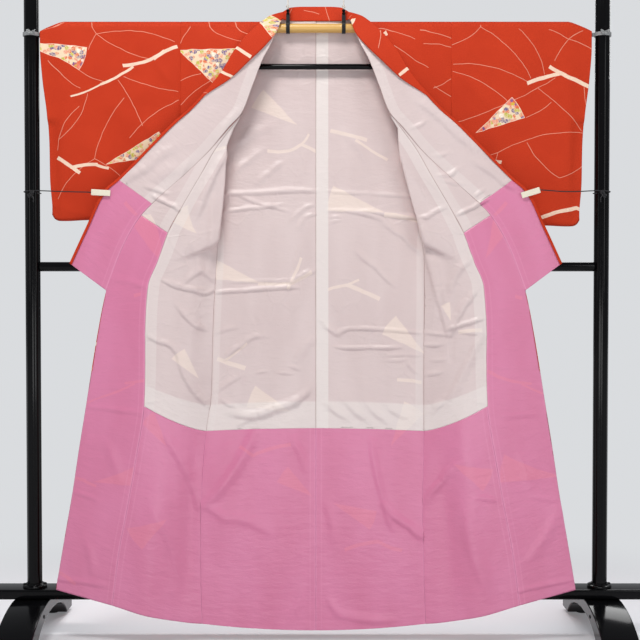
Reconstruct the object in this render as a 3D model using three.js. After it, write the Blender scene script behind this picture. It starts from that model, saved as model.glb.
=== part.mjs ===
// A komon kimono, opened out and turned back from the front, on a black display stand.
// Millimetres. +X is to the viewer's right, +Y goes away from the viewer, +Z is up. The floor is z = 0.
// "Out" is the distance from the garment's middle line towards either sleeve.

import * as THREE from 'three';

// Cloth
const OUTER_THICKNESS = 1.2;
const LINING_THICKNESS = 1.0;
const SEAM_GAP = 0.3;
const COLLAR_SEAM_GAP = 0.8;
const SEAM_SPARE = 0.9; // a front's side seam lies this much further out, clear of the back's
const HALF_TURN = 1.6; // half the distance between the two layers of a turned-back edge
const ROLL = 2.6; // how far a turned edge's layers start behind its tip
const OUTER_FROM = SEAM_GAP / 2;
const OUTER_TO = OUTER_FROM + OUTER_THICKNESS;
const LINING_FROM = -SEAM_GAP / 2 - LINING_THICKNESS;
const LINING_TO = -SEAM_GAP / 2;

// Garment
const MIDDLE_X = -3;
const SHOULDER_OUT = 324;
const NECK_OUT = 84;
const SHOULDER_TURN = 14.5; // radius of the cloth's fold over the pole
const SHOULDER_ANGLES = [36, 72, 108, 144];
const NECKLINE_Z = 1474;

// Hanger
const POLE_RADIUS = 11.25;
const POLE_Z = 1466;
const POLE_HALF = 604;
const BAR_RADIUS = 6.75;
const BAR_Z = 1374;
const BAR_HALF = 212;
const LINK_OUT = 200;
const STRAP_OUT = 67;
const STRAP_WIDTH = 9;
const STRAP_THICKNESS = 1.4;
const CONNECTOR = { width: 8, depth: 9, height: 12, z: 1505 };
const LINK = { width: 8, rim: 1.4, smallRim: 2.5, stem: 4 };

// Stand
const UPRIGHT_OUT = 687;
const UPRIGHT_RADIUS = 18;
const UPRIGHT_TOP = 1640;
const TOP_BAR_Z = 1600;
const TOP_BAR_RADIUS = 12;
const MIDDLE_BAR_Z = 893;
const MIDDLE_BAR_RADIUS = 11.5;
const BOTTOM_BAR = { half: 800, depth: 72, low: 91, high: 115 };
const SOCKET = { radius: 29, rim: 6, wall: 3, height: 10 };
const FOOT = { width: 86, half: 225, top: 90.7, low: 8, tip: 34, flatHalf: 50, slopeReach: 70, slopeDrop: 8 };
const ARCH = { half: 165, top: 62, ease: 45 };
const PAD = { radius: 15, height: 7.7, y: 196 };
const FACE_GAP = 0.3;

// Clips, cords and ties
const CLIP = { out: 509, z: 1067, y: -53.4, length: 46, height: 14, jaw: 2.4, slot: 9, solid: 20, corner: 3 };
const CORD_RADIUS = 1.25;
const CORD_BEND = { out: 600, y: -39 }; // where the clip's cord turns back towards the upright
const HANGING_CORD_RADIUS = 1.5;
const HANGING_CORD_NECK = 22; // up to here above the connector the two strands lie together
// The clip's cord round the upright: first and last angle in degrees, and millimetres down for each degree
const WRAP = { from: -105, to: 225, step: 30, rise: 8, pitch: 0.018 };
const TIE = { thickness: 2.4, height: 9, z: 1446 };

const red = cloth(0xc03a22, 0.85);
const white = cloth(0xd8c8c4, 0.8);
const pink = cloth(0xd07aa2, 0.6);
const lacquer = new THREE.MeshStandardMaterial({ color: 0x0b0b0d, roughness: 0.2, metalness: 0.1 });
const blackCord = new THREE.MeshStandardMaterial({ color: 0x141416, roughness: 0.8, metalness: 0 });
const bamboo = new THREE.MeshStandardMaterial({ color: 0xd9b24a, roughness: 0.45, metalness: 0 });
const clipPlastic = new THREE.MeshStandardMaterial({ color: 0xe9e4d2, roughness: 0.4, metalness: 0 });
const tape = new THREE.MeshStandardMaterial({ color: 0x9a9a98, roughness: 0.7, metalness: 0 });
const whiteCord = new THREE.MeshStandardMaterial({ color: 0xe8e6e0, roughness: 0.8, metalness: 0 });

function cloth(color, roughness) {
  return new THREE.MeshStandardMaterial({ color, roughness, metalness: 0 });
}

// Tables: the first line names the columns, each further line is a row of the garment
function table(columns, rows) {
  const names = columns.split(' ');
  return rows.map((row) => Object.fromEntries(names.map((name, i) => [name, row[i]])));
}

// Levels of the body from the shoulder to the hem.
// z is the height at the middle of the back, sideZ at the side seam, overlapZ at the overlap panel's seam.
// side is where the side seam lies, fold where the front turns back, overlap where that panel is sewn on.
const BODY = table(
  'z sideZ overlapZ sideLeft sideRight backY backSideY frontSideY ' +
    'foldLeft foldRight foldY turn overlap overlapY',
  [
    [1466, 1466, 1466, 324, 324, 15, 14.5, -14.5, 0, 0, 0, 0, 0, 0],
    [1430, 1430, 1430, 324, 324, 16, 14, -14, 0, 0, 0, 0, 0, 0],
    [1380, 1380, 1380, 324, 324, 16, 13, -14, 0, 0, 0, 0, 0, 0],
    [1320, 1320, 1320, 324, 324, 12, 12, -14, 0, 0, 0, 0, 0, 0],
    [1259, 1259, 1259, 324, 324, 6, 10, -15, 0, 0, 0, 0, 0, 0],
    [1221, 1221, 1221, 312, 315, 3, 6, -16, 197, 196, -42, 1.6, 203, -44.5],
    [1170, 1170, 1170, 297, 307, -1, 0, -17, 214, 199, -43, 1.6, 239, -47],
    [1115, 1115, 1115, 283, 300, -6, -9, -10.8, 216, 212, -44, 1.6, 270, -51],
    [1041, 1041, 1041, 262, 285, -12, -17, -18.8, 222, 231, -46, 1.6, 313, -56],
    [960, 960, 972, 238, 263, -18, -22, -23.8, 231, 255, -49, 5, 350, -60],
    [900, 900, 905, 239, 261, -21, -25, -25, 0, 0, 0, 0, 374, -62],
    [845, 845, 845, 242, 261, -24, -28, -28, 0, 0, 0, 0, 397, -64],
    [720, 717, 727, 247, 259, -29, -34, -34, 0, 0, 0, 0, 404, -66],
    [602, 594, 636, 250, 258, -34, -39, -39, 0, 0, 0, 0, 404, -69],
    [506, 500, 562, 262, 258, -39, -44, -44, 0, 0, 0, 0, 406, -72],
    [408, 402, 432, 270, 256, -44, -51, -51, 0, 0, 0, 0, 426, -76],
    [306, 300, 328, 274, 255, -50, -57, -57, 0, 0, 0, 0, 444, -80],
    [178, 182, 216, 274, 257, -56, -62, -62, 0, 0, 0, 0, 465, -84],
    [25, 43, 92, 271, 262, -60, -68, -68, 0, 0, 0, 0, 481, -88],
  ],
);
const FIRST_OPEN = 5; // the level where the overlap panel's point and the turned-back front begin
const FIRST_FLAT = 9; // the level where the turned-back front has unrolled
const PINK_LEVEL = 14; // the level where the hem lining is joined to the body lining

// Stations of the collar from the middle of the back to its end: seam, folded or free edge, turned-over edge
const COLLAR = table(
  'seam seamY seamZ edge edgeY edgeZ turn turnY turnZ',
  [
    [0, 15, 1474.7, 0, 27, 1522, 0, 13.5, 1486],
    [34, 15, 1474.7, 33, 27, 1522, 34, 13.5, 1486],
    [67, 14.8, 1474.7, 62, 22, 1519, 63, 11, 1486],
    [85, 14.2, 1476.3, 80, 15, 1508, 77, 7, 1487],
    [86, 5.4, 1482.6, 92, 8, 1503, 81, -2, 1488],
    [87, -5.4, 1482.6, 100, 0, 1498, 83, -10, 1483],
    [88, -14.2, 1476.3, 112, -9, 1491, 86, -18, 1473],
    [90, -19, 1466, 128, -18, 1478, 92, -27, 1454],
    [103, -31, 1430, 160, -32, 1447, 118, -42, 1418],
    [128, -40, 1380, 192, -42, 1406, 160, -50, 1376],
    [151, -42, 1320, 222, -46, 1355, 202, -50, 1337],
    [175, -44, 1259, 268, -47, 1300, 263, -50.4, 1296],
    [208, -46.5, 1221, 300, -47, 1266, 295, -50.4, 1262],
    [250, -48, 1170, 335, -48, 1236, 331, -51.4, 1232],
    [306, -50, 1115, 385, -49, 1186, 381, -52.4, 1182],
    [388, -53, 1041, 470, -51, 1100, 466, -54.4, 1096],
    [414, -54, 1014, 500, -52, 1074, 495, -55.4, 1071],
    [455, -54, 945, 545, -49, 985, 540, -52.4, 983],
    [498, -52, 836, 585, -47, 900, 580, -50.4, 898],
  ],
);
const SHOULDER_STATION = 7; // the station beside the front's first level
const PINK_STATION = 15; // beyond it the collar's lining is pink

// Free edge of the overlap panel below the collar's end, one row for each level from there to the hem
const OVERLAP_EDGE = table('out y z', [
  [498, -52, 836],
  [518, -55, 736],
  [535, -58, 632],
  [546, -60, 562],
  [564, -63, 450],
  [577, -66, 362],
  [594, -70, 262],
  [617, -74, 126],
]);
const COLLAR_END_LEVEL = 11;

// Sleeve sections from the body to the cuff: heights of the top fold and the bottom, closing of the cuff
const SLEEVE = table('out top bottom closed drop', [
  [324.4, 1466, 1012, 0, 0],
  [400, 1466, 1010, 0, 0],
  [480, 1466, 1008, 0, 0],
  [560, 1466, 1006, 0, 0],
  [606, 1466, 1004, 0, 0],
  [630, 1461, 1006, 0.75, 3],
  [644, 1456, 1030, 1, 6],
]);
const CUFF_OPENING = 225;
const SHUT_DEPTH = 0.9; // half the hollow's depth where the cuff is sewn shut
const OPEN_SHARE = 0.45; // how far the cuff's open stretch closes by itself
const RIGHT_SLEEVE_SAG = 13; // the right sleeve's bottom hangs this much lower than the left one's
// Share of the sleeve's height from its top fold, half its hollow's depth, and how far the cuff reaches out
const SLEEVE_PROFILE = table('down depth cuff', [
  [0, 14.5, 18],
  [0.08, 14.5, 18],
  [0.25, 14, 13],
  [0.46, 13.5, 2],
  [0.62, 12, -2],
  [0.8, 8.5, -3],
  [0.95, 4.5, -8],
]);
const CUFF_REACH = SLEEVE_PROFILE[0].cuff;

// Soft vertical folds on the opened panels: place across the opened front (0 side seam, 1 overlap seam)
const FRONT_FOLDS = table('side across width from to depth', [
  [-1, 0.3, 0.16, 960, 560, -7],
  [-1, 0.62, 0.2, 480, 0, -9],
  [-1, 0.15, 0.12, 500, 60, 6],
  [1, 0.16, 0.14, 980, 690, -11],
  [1, 0.6, 0.2, 620, 0, -8],
  [1, 0.3, 0.14, 470, 60, 6],
]);
const BACK_FOLDS = table('side across width from to depth', [
  [-1, 0.8, 0.14, 520, 180, -5],
  [1, 0.78, 0.16, 900, 420, -5],
  [-1, 0.35, 0.2, 900, 100, -3],
  [1, 0.4, 0.2, 700, 60, -3],
]);

const point = (side, out, y, z) => new THREE.Vector3(MIDDLE_X + side * out, y, z);
const lerp = THREE.MathUtils.lerp;
const radians = THREE.MathUtils.degToRad;

function foldDepth(folds, side, across, z) {
  let depth = 0;
  for (const fold of folds) {
    if (fold.side !== side || z > fold.from || z < fold.to) continue;
    const along = Math.sin((Math.PI * (fold.from - z)) / (fold.from - fold.to || 1));
    const fade = fold.to === 0 ? Math.min(1, (fold.from - z) / 200) : along;
    depth += fold.depth * fade * Math.exp(-(((across - fold.across) / fold.width) ** 2));
  }
  return depth;
}

// Cloth walls: a grid of points, whose normals point to the outer side of the cloth
const COLUMNS = 10; // across one half of the body
const NECK_COLUMN = 5; // where the neck's corner lies; on the front, the first layer behind the turned edge
const LAST_BACK = BODY.length - 1; // the back's top row in the body's grid
const FIRST_FRONT = BODY.length + SHOULDER_ANGLES.length; // the front's top row

function backRow(level, side) {
  const out = side < 0 ? level.sideLeft : level.sideRight;
  const isTop = level === BODY[0];
  return Array.from({ length: COLUMNS }, (_, k) => {
    const beyondNeck = (k - NECK_COLUMN) / (COLUMNS - 1 - NECK_COLUMN);
    const at = k <= NECK_COLUMN ? (NECK_OUT * k) / NECK_COLUMN : lerp(NECK_OUT, out, beyondNeck);
    const across = at / out;
    const z = lerp(isTop && k < NECK_COLUMN ? NECKLINE_Z : level.z, level.sideZ, across ** 2);
    if (isTop && k >= NECK_COLUMN) return point(side, at, level.backSideY, z);
    const sag = foldDepth(BACK_FOLDS, side, across, level.z);
    return point(side, at, lerp(level.backY, level.backSideY, across ** 2) + sag, z);
  });
}

function shoulderRow(angle, side) {
  const share = angle / 180;
  return Array.from({ length: COLUMNS }, (_, k) => {
    const beyondNeck = Math.max(0, (k - NECK_COLUMN) / (COLUMNS - 1 - NECK_COLUMN));
    const neck = lerp(NECK_OUT, COLLAR[SHOULDER_STATION].seam, share);
    const y = SHOULDER_TURN * Math.cos(radians(angle));
    const z = POLE_Z + SHOULDER_TURN * Math.sin(radians(angle));
    return point(side, lerp(neck, SHOULDER_OUT, beyondNeck), y, z);
  });
}

// Above the overlap panel's point a front ends at the collar's seam
function frontNeckRow(level, side, station) {
  const isTop = level === BODY[0];
  const innerY = isTop ? level.frontSideY : station.seamY + 2 * HALF_TURN;
  return Array.from({ length: COLUMNS }, (_, k) => {
    const inward = Math.min(1, (COLUMNS - 1 - k) / (COLUMNS - 1 - NECK_COLUMN));
    const y = lerp(level.frontSideY, innerY, inward);
    return point(side, lerp(SHOULDER_OUT, station.seam, inward), y, level.z);
  });
}

// Below it the front runs in behind its turned edge, round it and out again to the overlap panel's seam
function frontTurnedRow(level, side) {
  const seam = side < 0 ? level.sideLeft : level.sideRight;
  const fold = side < 0 ? level.foldLeft : level.foldRight;
  const roll = level.turn * (ROLL / HALF_TURN);
  return Array.from({ length: COLUMNS }, (_, k) => {
    if (k >= NECK_COLUMN) {
      const inward = (COLUMNS - 1 - k) / (COLUMNS - 1 - NECK_COLUMN);
      const y = lerp(level.frontSideY, level.foldY + level.turn, inward);
      return point(side, lerp(seam + SEAM_SPARE, fold + roll, inward), y, level.sideZ);
    }
    if (k === NECK_COLUMN - 1) return point(side, fold, level.foldY, level.sideZ);
    const outward = 1 - k / (NECK_COLUMN - 2);
    const y = lerp(level.foldY - level.turn, level.overlapY, outward);
    const z = lerp(level.sideZ, level.overlapZ, outward);
    return point(side, lerp(fold + roll, level.overlap, outward), y, z);
  });
}

// Lower still it is one open panel from the side seam to the overlap panel's seam
function frontOpenRow(level, side) {
  const seam = side < 0 ? level.sideLeft : level.sideRight;
  return Array.from({ length: COLUMNS }, (_, k) => {
    const across = 1 - k / (COLUMNS - 1);
    const z = lerp(level.sideZ, level.overlapZ, across ** 1.4);
    const sag = foldDepth(FRONT_FOLDS, side, across, z);
    const y = lerp(level.frontSideY, level.overlapY, Math.sin((across * Math.PI) / 2));
    return point(side, lerp(seam + SEAM_SPARE, level.overlap, across), y + sag, z);
  });
}

function bodyGrid(side) {
  const rows = [...BODY].reverse().map((level) => backRow(level, side));
  rows.push(...SHOULDER_ANGLES.map((angle) => shoulderRow(angle, side)));
  BODY.forEach((level, i) => {
    if (i < FIRST_OPEN) rows.push(frontNeckRow(level, side, COLLAR[SHOULDER_STATION + i]));
    else if (i <= FIRST_FLAT) rows.push(frontTurnedRow(level, side));
    else rows.push(frontOpenRow(level, side));
  });
  return grid(rows, -side, (r, c) => r < LAST_BACK || c >= NECK_COLUMN || r >= FIRST_FRONT + FIRST_OPEN);
}

function seamPoint(side, station) {
  return point(side, station.seam, station.seamY, station.seamZ);
}

function edgePoint(side, level) {
  const { out, y, z } = OVERLAP_EDGE[level - COLLAR_END_LEVEL];
  return point(side, out, y, z);
}

function overlapGrid(side) {
  const rows = BODY.slice(FIRST_OPEN).map((level, i) => {
    const n = i + FIRST_OPEN;
    const from = point(side, level.overlap, level.overlapY, level.overlapZ);
    const to = n < COLLAR_END_LEVEL ? seamPoint(side, COLLAR[SHOULDER_STATION + n]) : edgePoint(side, n);
    return [0, 1, 2, 3].map((k) => new THREE.Vector3().lerpVectors(from, to, k / 3));
  });
  return grid(rows, side, () => true);
}

// Collar sections run from the seam to the folded edge, round it and on to the turned-over edge
function collarRow(side, i) {
  const edgeOf = (s) => point(side, s.edge, s.edgeY, s.edgeZ);
  const middleOf = (s) => seamPoint(side, s).lerp(edgeOf(s), 0.5);
  const station = COLLAR[i];
  const seam = seamPoint(side, station);
  const edge = edgeOf(station);
  const turn = point(side, station.turn, station.turnY, station.turnZ);
  const up = edge.clone().sub(seam).normalize();
  const along = middleOf(COLLAR[Math.min(i + 1, COLLAR.length - 1)]);
  if (i === 0) along.set(MIDDLE_X + side, edge.y, edge.z).sub(edge);
  else along.sub(middleOf(COLLAR[i - 1]));
  const apart = up.clone().cross(along).normalize().multiplyScalar(-side);
  const near = edge.clone().addScaledVector(up, -ROLL);
  const tip = edge.clone().addScaledVector(apart, HALF_TURN);
  const over = near.clone().addScaledVector(apart, 2 * HALF_TURN);
  const middle = new THREE.Vector3().lerpVectors(seam, near, 0.5);
  const last = turn.distanceTo(over) > 4 ? turn : over.clone().addScaledVector(up, -3);
  return [seam, middle, near, tip, over, last];
}

function collarGrid() {
  const left = COLLAR.map((_, i) => collarRow(-1, i)).slice(1).reverse();
  const right = COLLAR.map((_, i) => collarRow(1, i));
  return grid([...left, ...right], 1, () => true);
}

function sleeveLoop(section, side) {
  const bottom = section.bottom - (side > 0 ? RIGHT_SLEEVE_SAG : 0);
  const halves = SLEEVE_PROFILE.map(({ down, depth, cuff }) => {
    const z = lerp(section.top, bottom, down);
    const shut = section.closed * (z < POLE_Z - CUFF_OPENING ? 1 : OPEN_SHARE);
    return { out: section.out + section.closed * cuff, depth: lerp(depth, SHUT_DEPTH, shut), z };
  });
  const turn = halves[0];
  const top = SHOULDER_ANGLES.map((angle) => {
    const rise = SHOULDER_TURN * Math.sin(radians(angle)) * (1 - section.closed * 0.5);
    return point(side, turn.out, -turn.depth * Math.cos(radians(angle)), turn.z + rise - section.drop);
  });
  const front = [...halves].reverse().map((p) => point(side, p.out, -p.depth, p.z));
  const back = halves.map((p) => point(side, p.out, p.depth, p.z));
  return [...front, ...top, ...back, point(side, section.out, 0, bottom)];
}

function sleeveGrid(side) {
  return grid(SLEEVE.map((section) => sleeveLoop(section, side)), side, () => true, true);
}

// A grid of points with the cells that are cloth and the normal at each point
function grid(points, orientation, isCloth, isLoop = false) {
  const count = points[0].length;
  const cells = isLoop ? count : count - 1;
  const wrap = (c) => (isLoop ? (c + count) % count : c);
  const isInside = (r, c) => r >= 0 && r < points.length - 1 && (isLoop || (c >= 0 && c < cells));
  const has = (r, c) => isInside(r, c) && isCloth(r, wrap(c));
  const at = (r, c) => points[r][wrap(c)];
  const normals = points.map((row, r) => row.map((p, c) => {
    const touches = (dr, dc) => has(r + dr, c + dc);
    const across = new THREE.Vector3();
    const down = new THREE.Vector3();
    if (touches(-1, 0) || touches(0, 0)) across.add(at(r, c + 1).clone().sub(p).normalize());
    if (touches(-1, -1) || touches(0, -1)) across.sub(at(r, c - 1).clone().sub(p).normalize());
    if (touches(0, 0) || touches(0, -1)) down.add(at(r + 1, c).clone().sub(p).normalize());
    if (touches(-1, 0) || touches(-1, -1)) down.sub(at(r - 1, c).clone().sub(p).normalize());
    return across.cross(down).normalize().multiplyScalar(orientation);
  }));
  return { points, normals, cells, wrap, has };
}

// A closed wall on some cells of a grid, between two distances from its points
function wall(sheet, from, to, gap, pick = () => true) {
  const { points, normals, cells, wrap, has } = sheet;
  const isCell = (r, c) => has(r, c) && pick(r, wrap(c));
  const vertices = [];
  const index = [];
  const numbers = new Map();
  const vertex = (r, col, isFar) => {
    const c = wrap(col);
    const key = `${r} ${c} ${isFar}`;
    if (numbers.has(key)) return numbers.get(key);
    const p = points[r][c].clone();
    const any = (...list) => list.some(([dr, dc]) => isCell(r + dr, c + dc));
    const pull = (r2, c2) => {
      const step = points[r2][wrap(c2)].clone().sub(points[r][c]);
      p.addScaledVector(step.normalize(), gap / 2);
    };
    const left = any([0, -1], [-1, -1]);
    const right = any([0, 0], [-1, 0]);
    const above = any([-1, 0], [-1, -1]);
    const below = any([0, 0], [0, -1]);
    if (right && !left) pull(r, c + 1);
    if (left && !right) pull(r, c - 1);
    if (below && !above) pull(r + 1, c);
    if (above && !below) pull(r - 1, c);
    p.addScaledVector(normals[r][c], isFar ? to : from);
    numbers.set(key, vertices.length / 3);
    vertices.push(p.x, p.y, p.z);
    return numbers.get(key);
  };
  const quad = (a, b, c, d) => index.push(a, b, c, a, c, d);
  for (let r = 0; r < points.length - 1; r += 1) {
    for (let c = 0; c < cells; c += 1) {
      if (!isCell(r, c)) continue;
      const corners = [[r, c], [r, c + 1], [r + 1, c + 1], [r + 1, c]];
      const far = corners.map(([i, j]) => vertex(i, j, true));
      const near = corners.map(([i, j]) => vertex(i, j, false));
      quad(far[0], far[1], far[2], far[3]);
      quad(near[0], near[3], near[2], near[1]);
      const open = [!isCell(r - 1, c), !isCell(r, c + 1), !isCell(r + 1, c), !isCell(r, c - 1)];
      open.forEach((isOpen, i) => {
        if (isOpen) quad(far[(i + 1) % 4], far[i], near[i], near[(i + 1) % 4]);
      });
    }
  }
  const geometry = new THREE.BufferGeometry();
  geometry.setAttribute('position', new THREE.Float32BufferAttribute(vertices, 3));
  geometry.setIndex(volume(vertices, index) < 0 ? index.reverse() : index);
  return geometry;
}

function volume(vertices, index) {
  const corner = (i) => new THREE.Vector3().fromArray(vertices, 3 * index[i]);
  let sum = 0;
  for (let i = 0; i < index.length; i += 3) sum += corner(i).dot(corner(i + 1).cross(corner(i + 2))) / 6;
  return sum;
}

const part = new THREE.Group();

function add(name, geometry, material, position = [0, 0, 0], rotation = [0, 0, 0]) {
  const mesh = new THREE.Mesh(geometry, material);
  mesh.name = name;
  mesh.position.set(...position);
  mesh.rotation.set(...rotation);
  part.add(mesh);
}

// Body, its lining and the overlap panels
function addBody(side, name) {
  const body = bodyGrid(side);
  const pinkBack = LAST_BACK - PINK_LEVEL;
  const openFrom = FIRST_FRONT + FIRST_OPEN;
  const flatFrom = FIRST_FRONT + FIRST_FLAT;
  const pinkFront = FIRST_FRONT + PINK_LEVEL;
  const isBackLining = (r) => r < LAST_BACK;
  const isFrontLining = (r, c) => r >= openFrom && (c < NECK_COLUMN || r >= flatFrom);
  const lining = (pick) => wall(body, LINING_FROM, LINING_TO, SEAM_GAP, pick);
  add(`body_${name}`, wall(body, OUTER_FROM, OUTER_TO, SEAM_GAP), red);
  add(`back_lining_${name}`, lining((r) => isBackLining(r) && r >= pinkBack), white);
  add(`back_hem_lining_${name}`, lining((r) => isBackLining(r) && r < pinkBack), pink);
  add(`front_lining_${name}`, lining((r, c) => isFrontLining(r, c) && r < pinkFront), white);
  add(`front_hem_lining_${name}`, lining((r, c) => isFrontLining(r, c) && r >= pinkFront), pink);

  const overlap = overlapGrid(side);
  const pinkOverlap = FIRST_FLAT - FIRST_OPEN;
  add(`overlap_${name}`, wall(overlap, OUTER_FROM, OUTER_TO, COLLAR_SEAM_GAP), red);
  const overlapLining = (pick) => wall(overlap, LINING_FROM, LINING_TO, COLLAR_SEAM_GAP, pick);
  add(`overlap_lining_${name}`, overlapLining((r) => r < pinkOverlap), white);
  add(`overlap_hem_lining_${name}`, overlapLining((r) => r >= pinkOverlap), pink);
}

function addCollar() {
  const collar = collarGrid();
  const middle = COLLAR.length - 1;
  const liningColumns = 2; // from the seam to just inside the turned edge
  const lining = (pick) => {
    const isLining = (r, c) => c < liningColumns && pick(r);
    return wall(collar, LINING_FROM, LINING_TO, COLLAR_SEAM_GAP, isLining);
  };
  add('collar', wall(collar, OUTER_FROM, OUTER_TO, COLLAR_SEAM_GAP), red);
  add('collar_lining_left', lining((r) => r < middle && r >= middle - PINK_STATION), white);
  add('collar_lining_right', lining((r) => r >= middle && r < middle + PINK_STATION), white);
  add('collar_end_lining_left', lining((r) => r < middle - PINK_STATION), pink);
  add('collar_end_lining_right', lining((r) => r >= middle + PINK_STATION), pink);
}

function addSleeve(side, name) {
  add(`sleeve_${name}`, wall(sleeveGrid(side), OUTER_FROM, OUTER_TO, 0), red);
}

// Bars and rods
function rod(radius, length, sides = 24) {
  return new THREE.CylinderGeometry(radius, radius, length, sides);
}

function extrudeAlongX(shape, width, sides = 10) {
  const options = { depth: width, bevelEnabled: false, curveSegments: sides };
  const geometry = new THREE.ExtrudeGeometry(shape, options);
  // The shape's x becomes +Y and its y becomes +Z
  geometry.translate(0, 0, -width / 2);
  geometry.rotateZ(Math.PI / 2);
  geometry.rotateY(Math.PI / 2);
  return geometry;
}

function addHanger() {
  const alongX = [0, 0, Math.PI / 2];
  add('pole', rod(POLE_RADIUS, 2 * POLE_HALF), bamboo, [MIDDLE_X, 0, POLE_Z], alongX);
  add('lower_bar', rod(BAR_RADIUS, 2 * BAR_HALF, 16), lacquer, [MIDDLE_X, 0, BAR_Z], alongX);
  for (const [side, name] of [[-1, 'left'], [1, 'right']]) {
    const linkX = MIDDLE_X + side * LINK_OUT;
    add(`link_${name}`, extrudeAlongX(linkShape(), LINK.width), lacquer, [linkX, 0, POLE_Z]);
    const strapX = MIDDLE_X + side * STRAP_OUT;
    add(`strap_${name}`, extrudeAlongX(strapShape(), STRAP_WIDTH), blackCord, [strapX, 0, POLE_Z]);
    const connector = new THREE.BoxGeometry(CONNECTOR.width, CONNECTOR.depth, CONNECTOR.height);
    add(`connector_${name}`, connector, lacquer, [strapX, 0, CONNECTOR.z]);
    const cord = hangingCord(CONNECTOR.z + CONNECTOR.height / 2 + FACE_GAP);
    add(`hanging_cord_${name}`, cord, whiteCord, [strapX, 0, 0]);
  }
}

// A plate with a thin eye round the pole and a smaller one round the lower bar
function linkShape() {
  const drop = BAR_Z - POLE_Z;
  const bigEye = POLE_RADIUS + FACE_GAP + LINK.rim;
  const smallEye = BAR_RADIUS + FACE_GAP + LINK.smallRim;
  const bigAngle = Math.asin(LINK.stem / bigEye);
  const smallAngle = Math.asin(LINK.stem / smallEye);
  const shape = new THREE.Shape();
  shape.absarc(0, 0, bigEye, -Math.PI / 2 + bigAngle, (3 * Math.PI) / 2 - bigAngle, false);
  shape.absarc(0, drop, smallEye, Math.PI / 2 + smallAngle, (5 * Math.PI) / 2 - smallAngle, false);
  shape.holes.push(new THREE.Path().absarc(0, 0, POLE_RADIUS + FACE_GAP, 0, 2 * Math.PI, true));
  shape.holes.push(new THREE.Path().absarc(0, drop, BAR_RADIUS + FACE_GAP, 0, 2 * Math.PI, true));
  return shape;
}

// A strap that goes round the pole and meets itself above it
function strapShape() {
  const inner = POLE_RADIUS + FACE_GAP;
  const outer = inner + STRAP_THICKNESS;
  const top = CONNECTOR.z - CONNECTOR.height / 2 - FACE_GAP - POLE_Z;
  const neck = STRAP_THICKNESS + 0.3;
  const angle = Math.asin(neck / outer);
  const shape = new THREE.Shape();
  shape.moveTo(-neck, top);
  shape.absarc(0, 0, outer, Math.PI / 2 + angle, (5 * Math.PI) / 2 - angle, false);
  shape.lineTo(neck, top);
  shape.holes.push(new THREE.Path().absarc(0, 0, inner, 0, 2 * Math.PI, true));
  return shape;
}

// A cord that rises from the connector, goes over the top bar and comes back down to it
function hangingCord(from) {
  const across = TOP_BAR_RADIUS + HANGING_CORD_RADIUS + 3 * FACE_GAP;
  const apart = 1.5 * HANGING_CORD_RADIUS;
  const knot = from + HANGING_CORD_NECK;
  const points = [new THREE.Vector3(0, -apart, from), new THREE.Vector3(0, -apart, knot)];
  for (const angle of [205, 180, 150, 120, 90, 60, 30, 0, -25]) {
    const y = across * Math.cos(radians(angle));
    points.push(new THREE.Vector3(0, y, TOP_BAR_Z + across * Math.sin(radians(angle))));
  }
  points.push(new THREE.Vector3(0, apart, knot), new THREE.Vector3(0, apart, from));
  return tube(points, HANGING_CORD_RADIUS, 22);
}

function tube(points, radius, steps, sides = 6) {
  const shape = new THREE.Shape();
  for (let i = 0; i < sides; i += 1) {
    const angle = (2 * Math.PI * i) / sides;
    const [x, y] = [radius * Math.cos(angle), radius * Math.sin(angle)];
    if (i) shape.lineTo(x, y);
    else shape.moveTo(x, y);
  }
  const path = new THREE.CatmullRomCurve3(points, false, 'centripetal');
  return new THREE.ExtrudeGeometry(shape, { steps, extrudePath: path, bevelEnabled: false });
}

// Clips and cords that hold the turned-back collar, and ties at the sleeves' top corners
function clipShape() {
  const half = CLIP.slot / 2 + CLIP.jaw;
  const shape = new THREE.Shape();
  shape.moveTo(0, CLIP.corner / 3 - half);
  shape.lineTo(CLIP.length - CLIP.corner, -half);
  shape.lineTo(CLIP.length, CLIP.corner - half);
  shape.lineTo(CLIP.length, half - CLIP.corner);
  shape.lineTo(CLIP.length - CLIP.corner, half);
  shape.lineTo(0, half - CLIP.corner / 3);
  shape.lineTo(0, CLIP.slot / 2);
  shape.lineTo(CLIP.length - CLIP.solid, CLIP.slot / 2);
  shape.lineTo(CLIP.length - CLIP.solid, -CLIP.slot / 2);
  shape.lineTo(0, -CLIP.slot / 2);
  return shape;
}

function addHolders(side, name, tilt) {
  const clip = new THREE.ExtrudeGeometry(clipShape(), { depth: CLIP.height, bevelEnabled: false });
  clip.translate(-CLIP.length / 2, 0, -CLIP.height / 2);
  if (side < 0) clip.rotateZ(Math.PI);
  const centre = [MIDDLE_X + side * CLIP.out, CLIP.y, CLIP.z];
  add(`clip_${name}`, clip, clipPlastic, centre, [0, -side * tilt, 0]);

  const end = CLIP.length / 2 + 2 * FACE_GAP;
  const start = [CLIP.out + end * Math.cos(tilt), CLIP.y, CLIP.z + end * Math.sin(tilt)];
  const around = UPRIGHT_RADIUS + CORD_RADIUS + 3 * FACE_GAP;
  const points = [new THREE.Vector3(MIDDLE_X + side * start[0], start[1], start[2])];
  points.push(new THREE.Vector3(MIDDLE_X + side * CORD_BEND.out, CORD_BEND.y, CLIP.z + WRAP.rise / 2));
  for (let angle = WRAP.from; angle <= WRAP.to; angle += WRAP.step) {
    const x = UPRIGHT_OUT + around * Math.cos(radians(angle));
    const z = CLIP.z + WRAP.rise - (angle - WRAP.from) * WRAP.pitch;
    points.push(new THREE.Vector3(side * x, around * Math.sin(radians(angle)), z));
  }
  add(`clip_cord_${name}`, tube(points, CORD_RADIUS, 26), blackCord);

  add(`tie_${name}`, tieBand(side), tape, [side * UPRIGHT_OUT, 0, TIE.z]);
}

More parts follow.
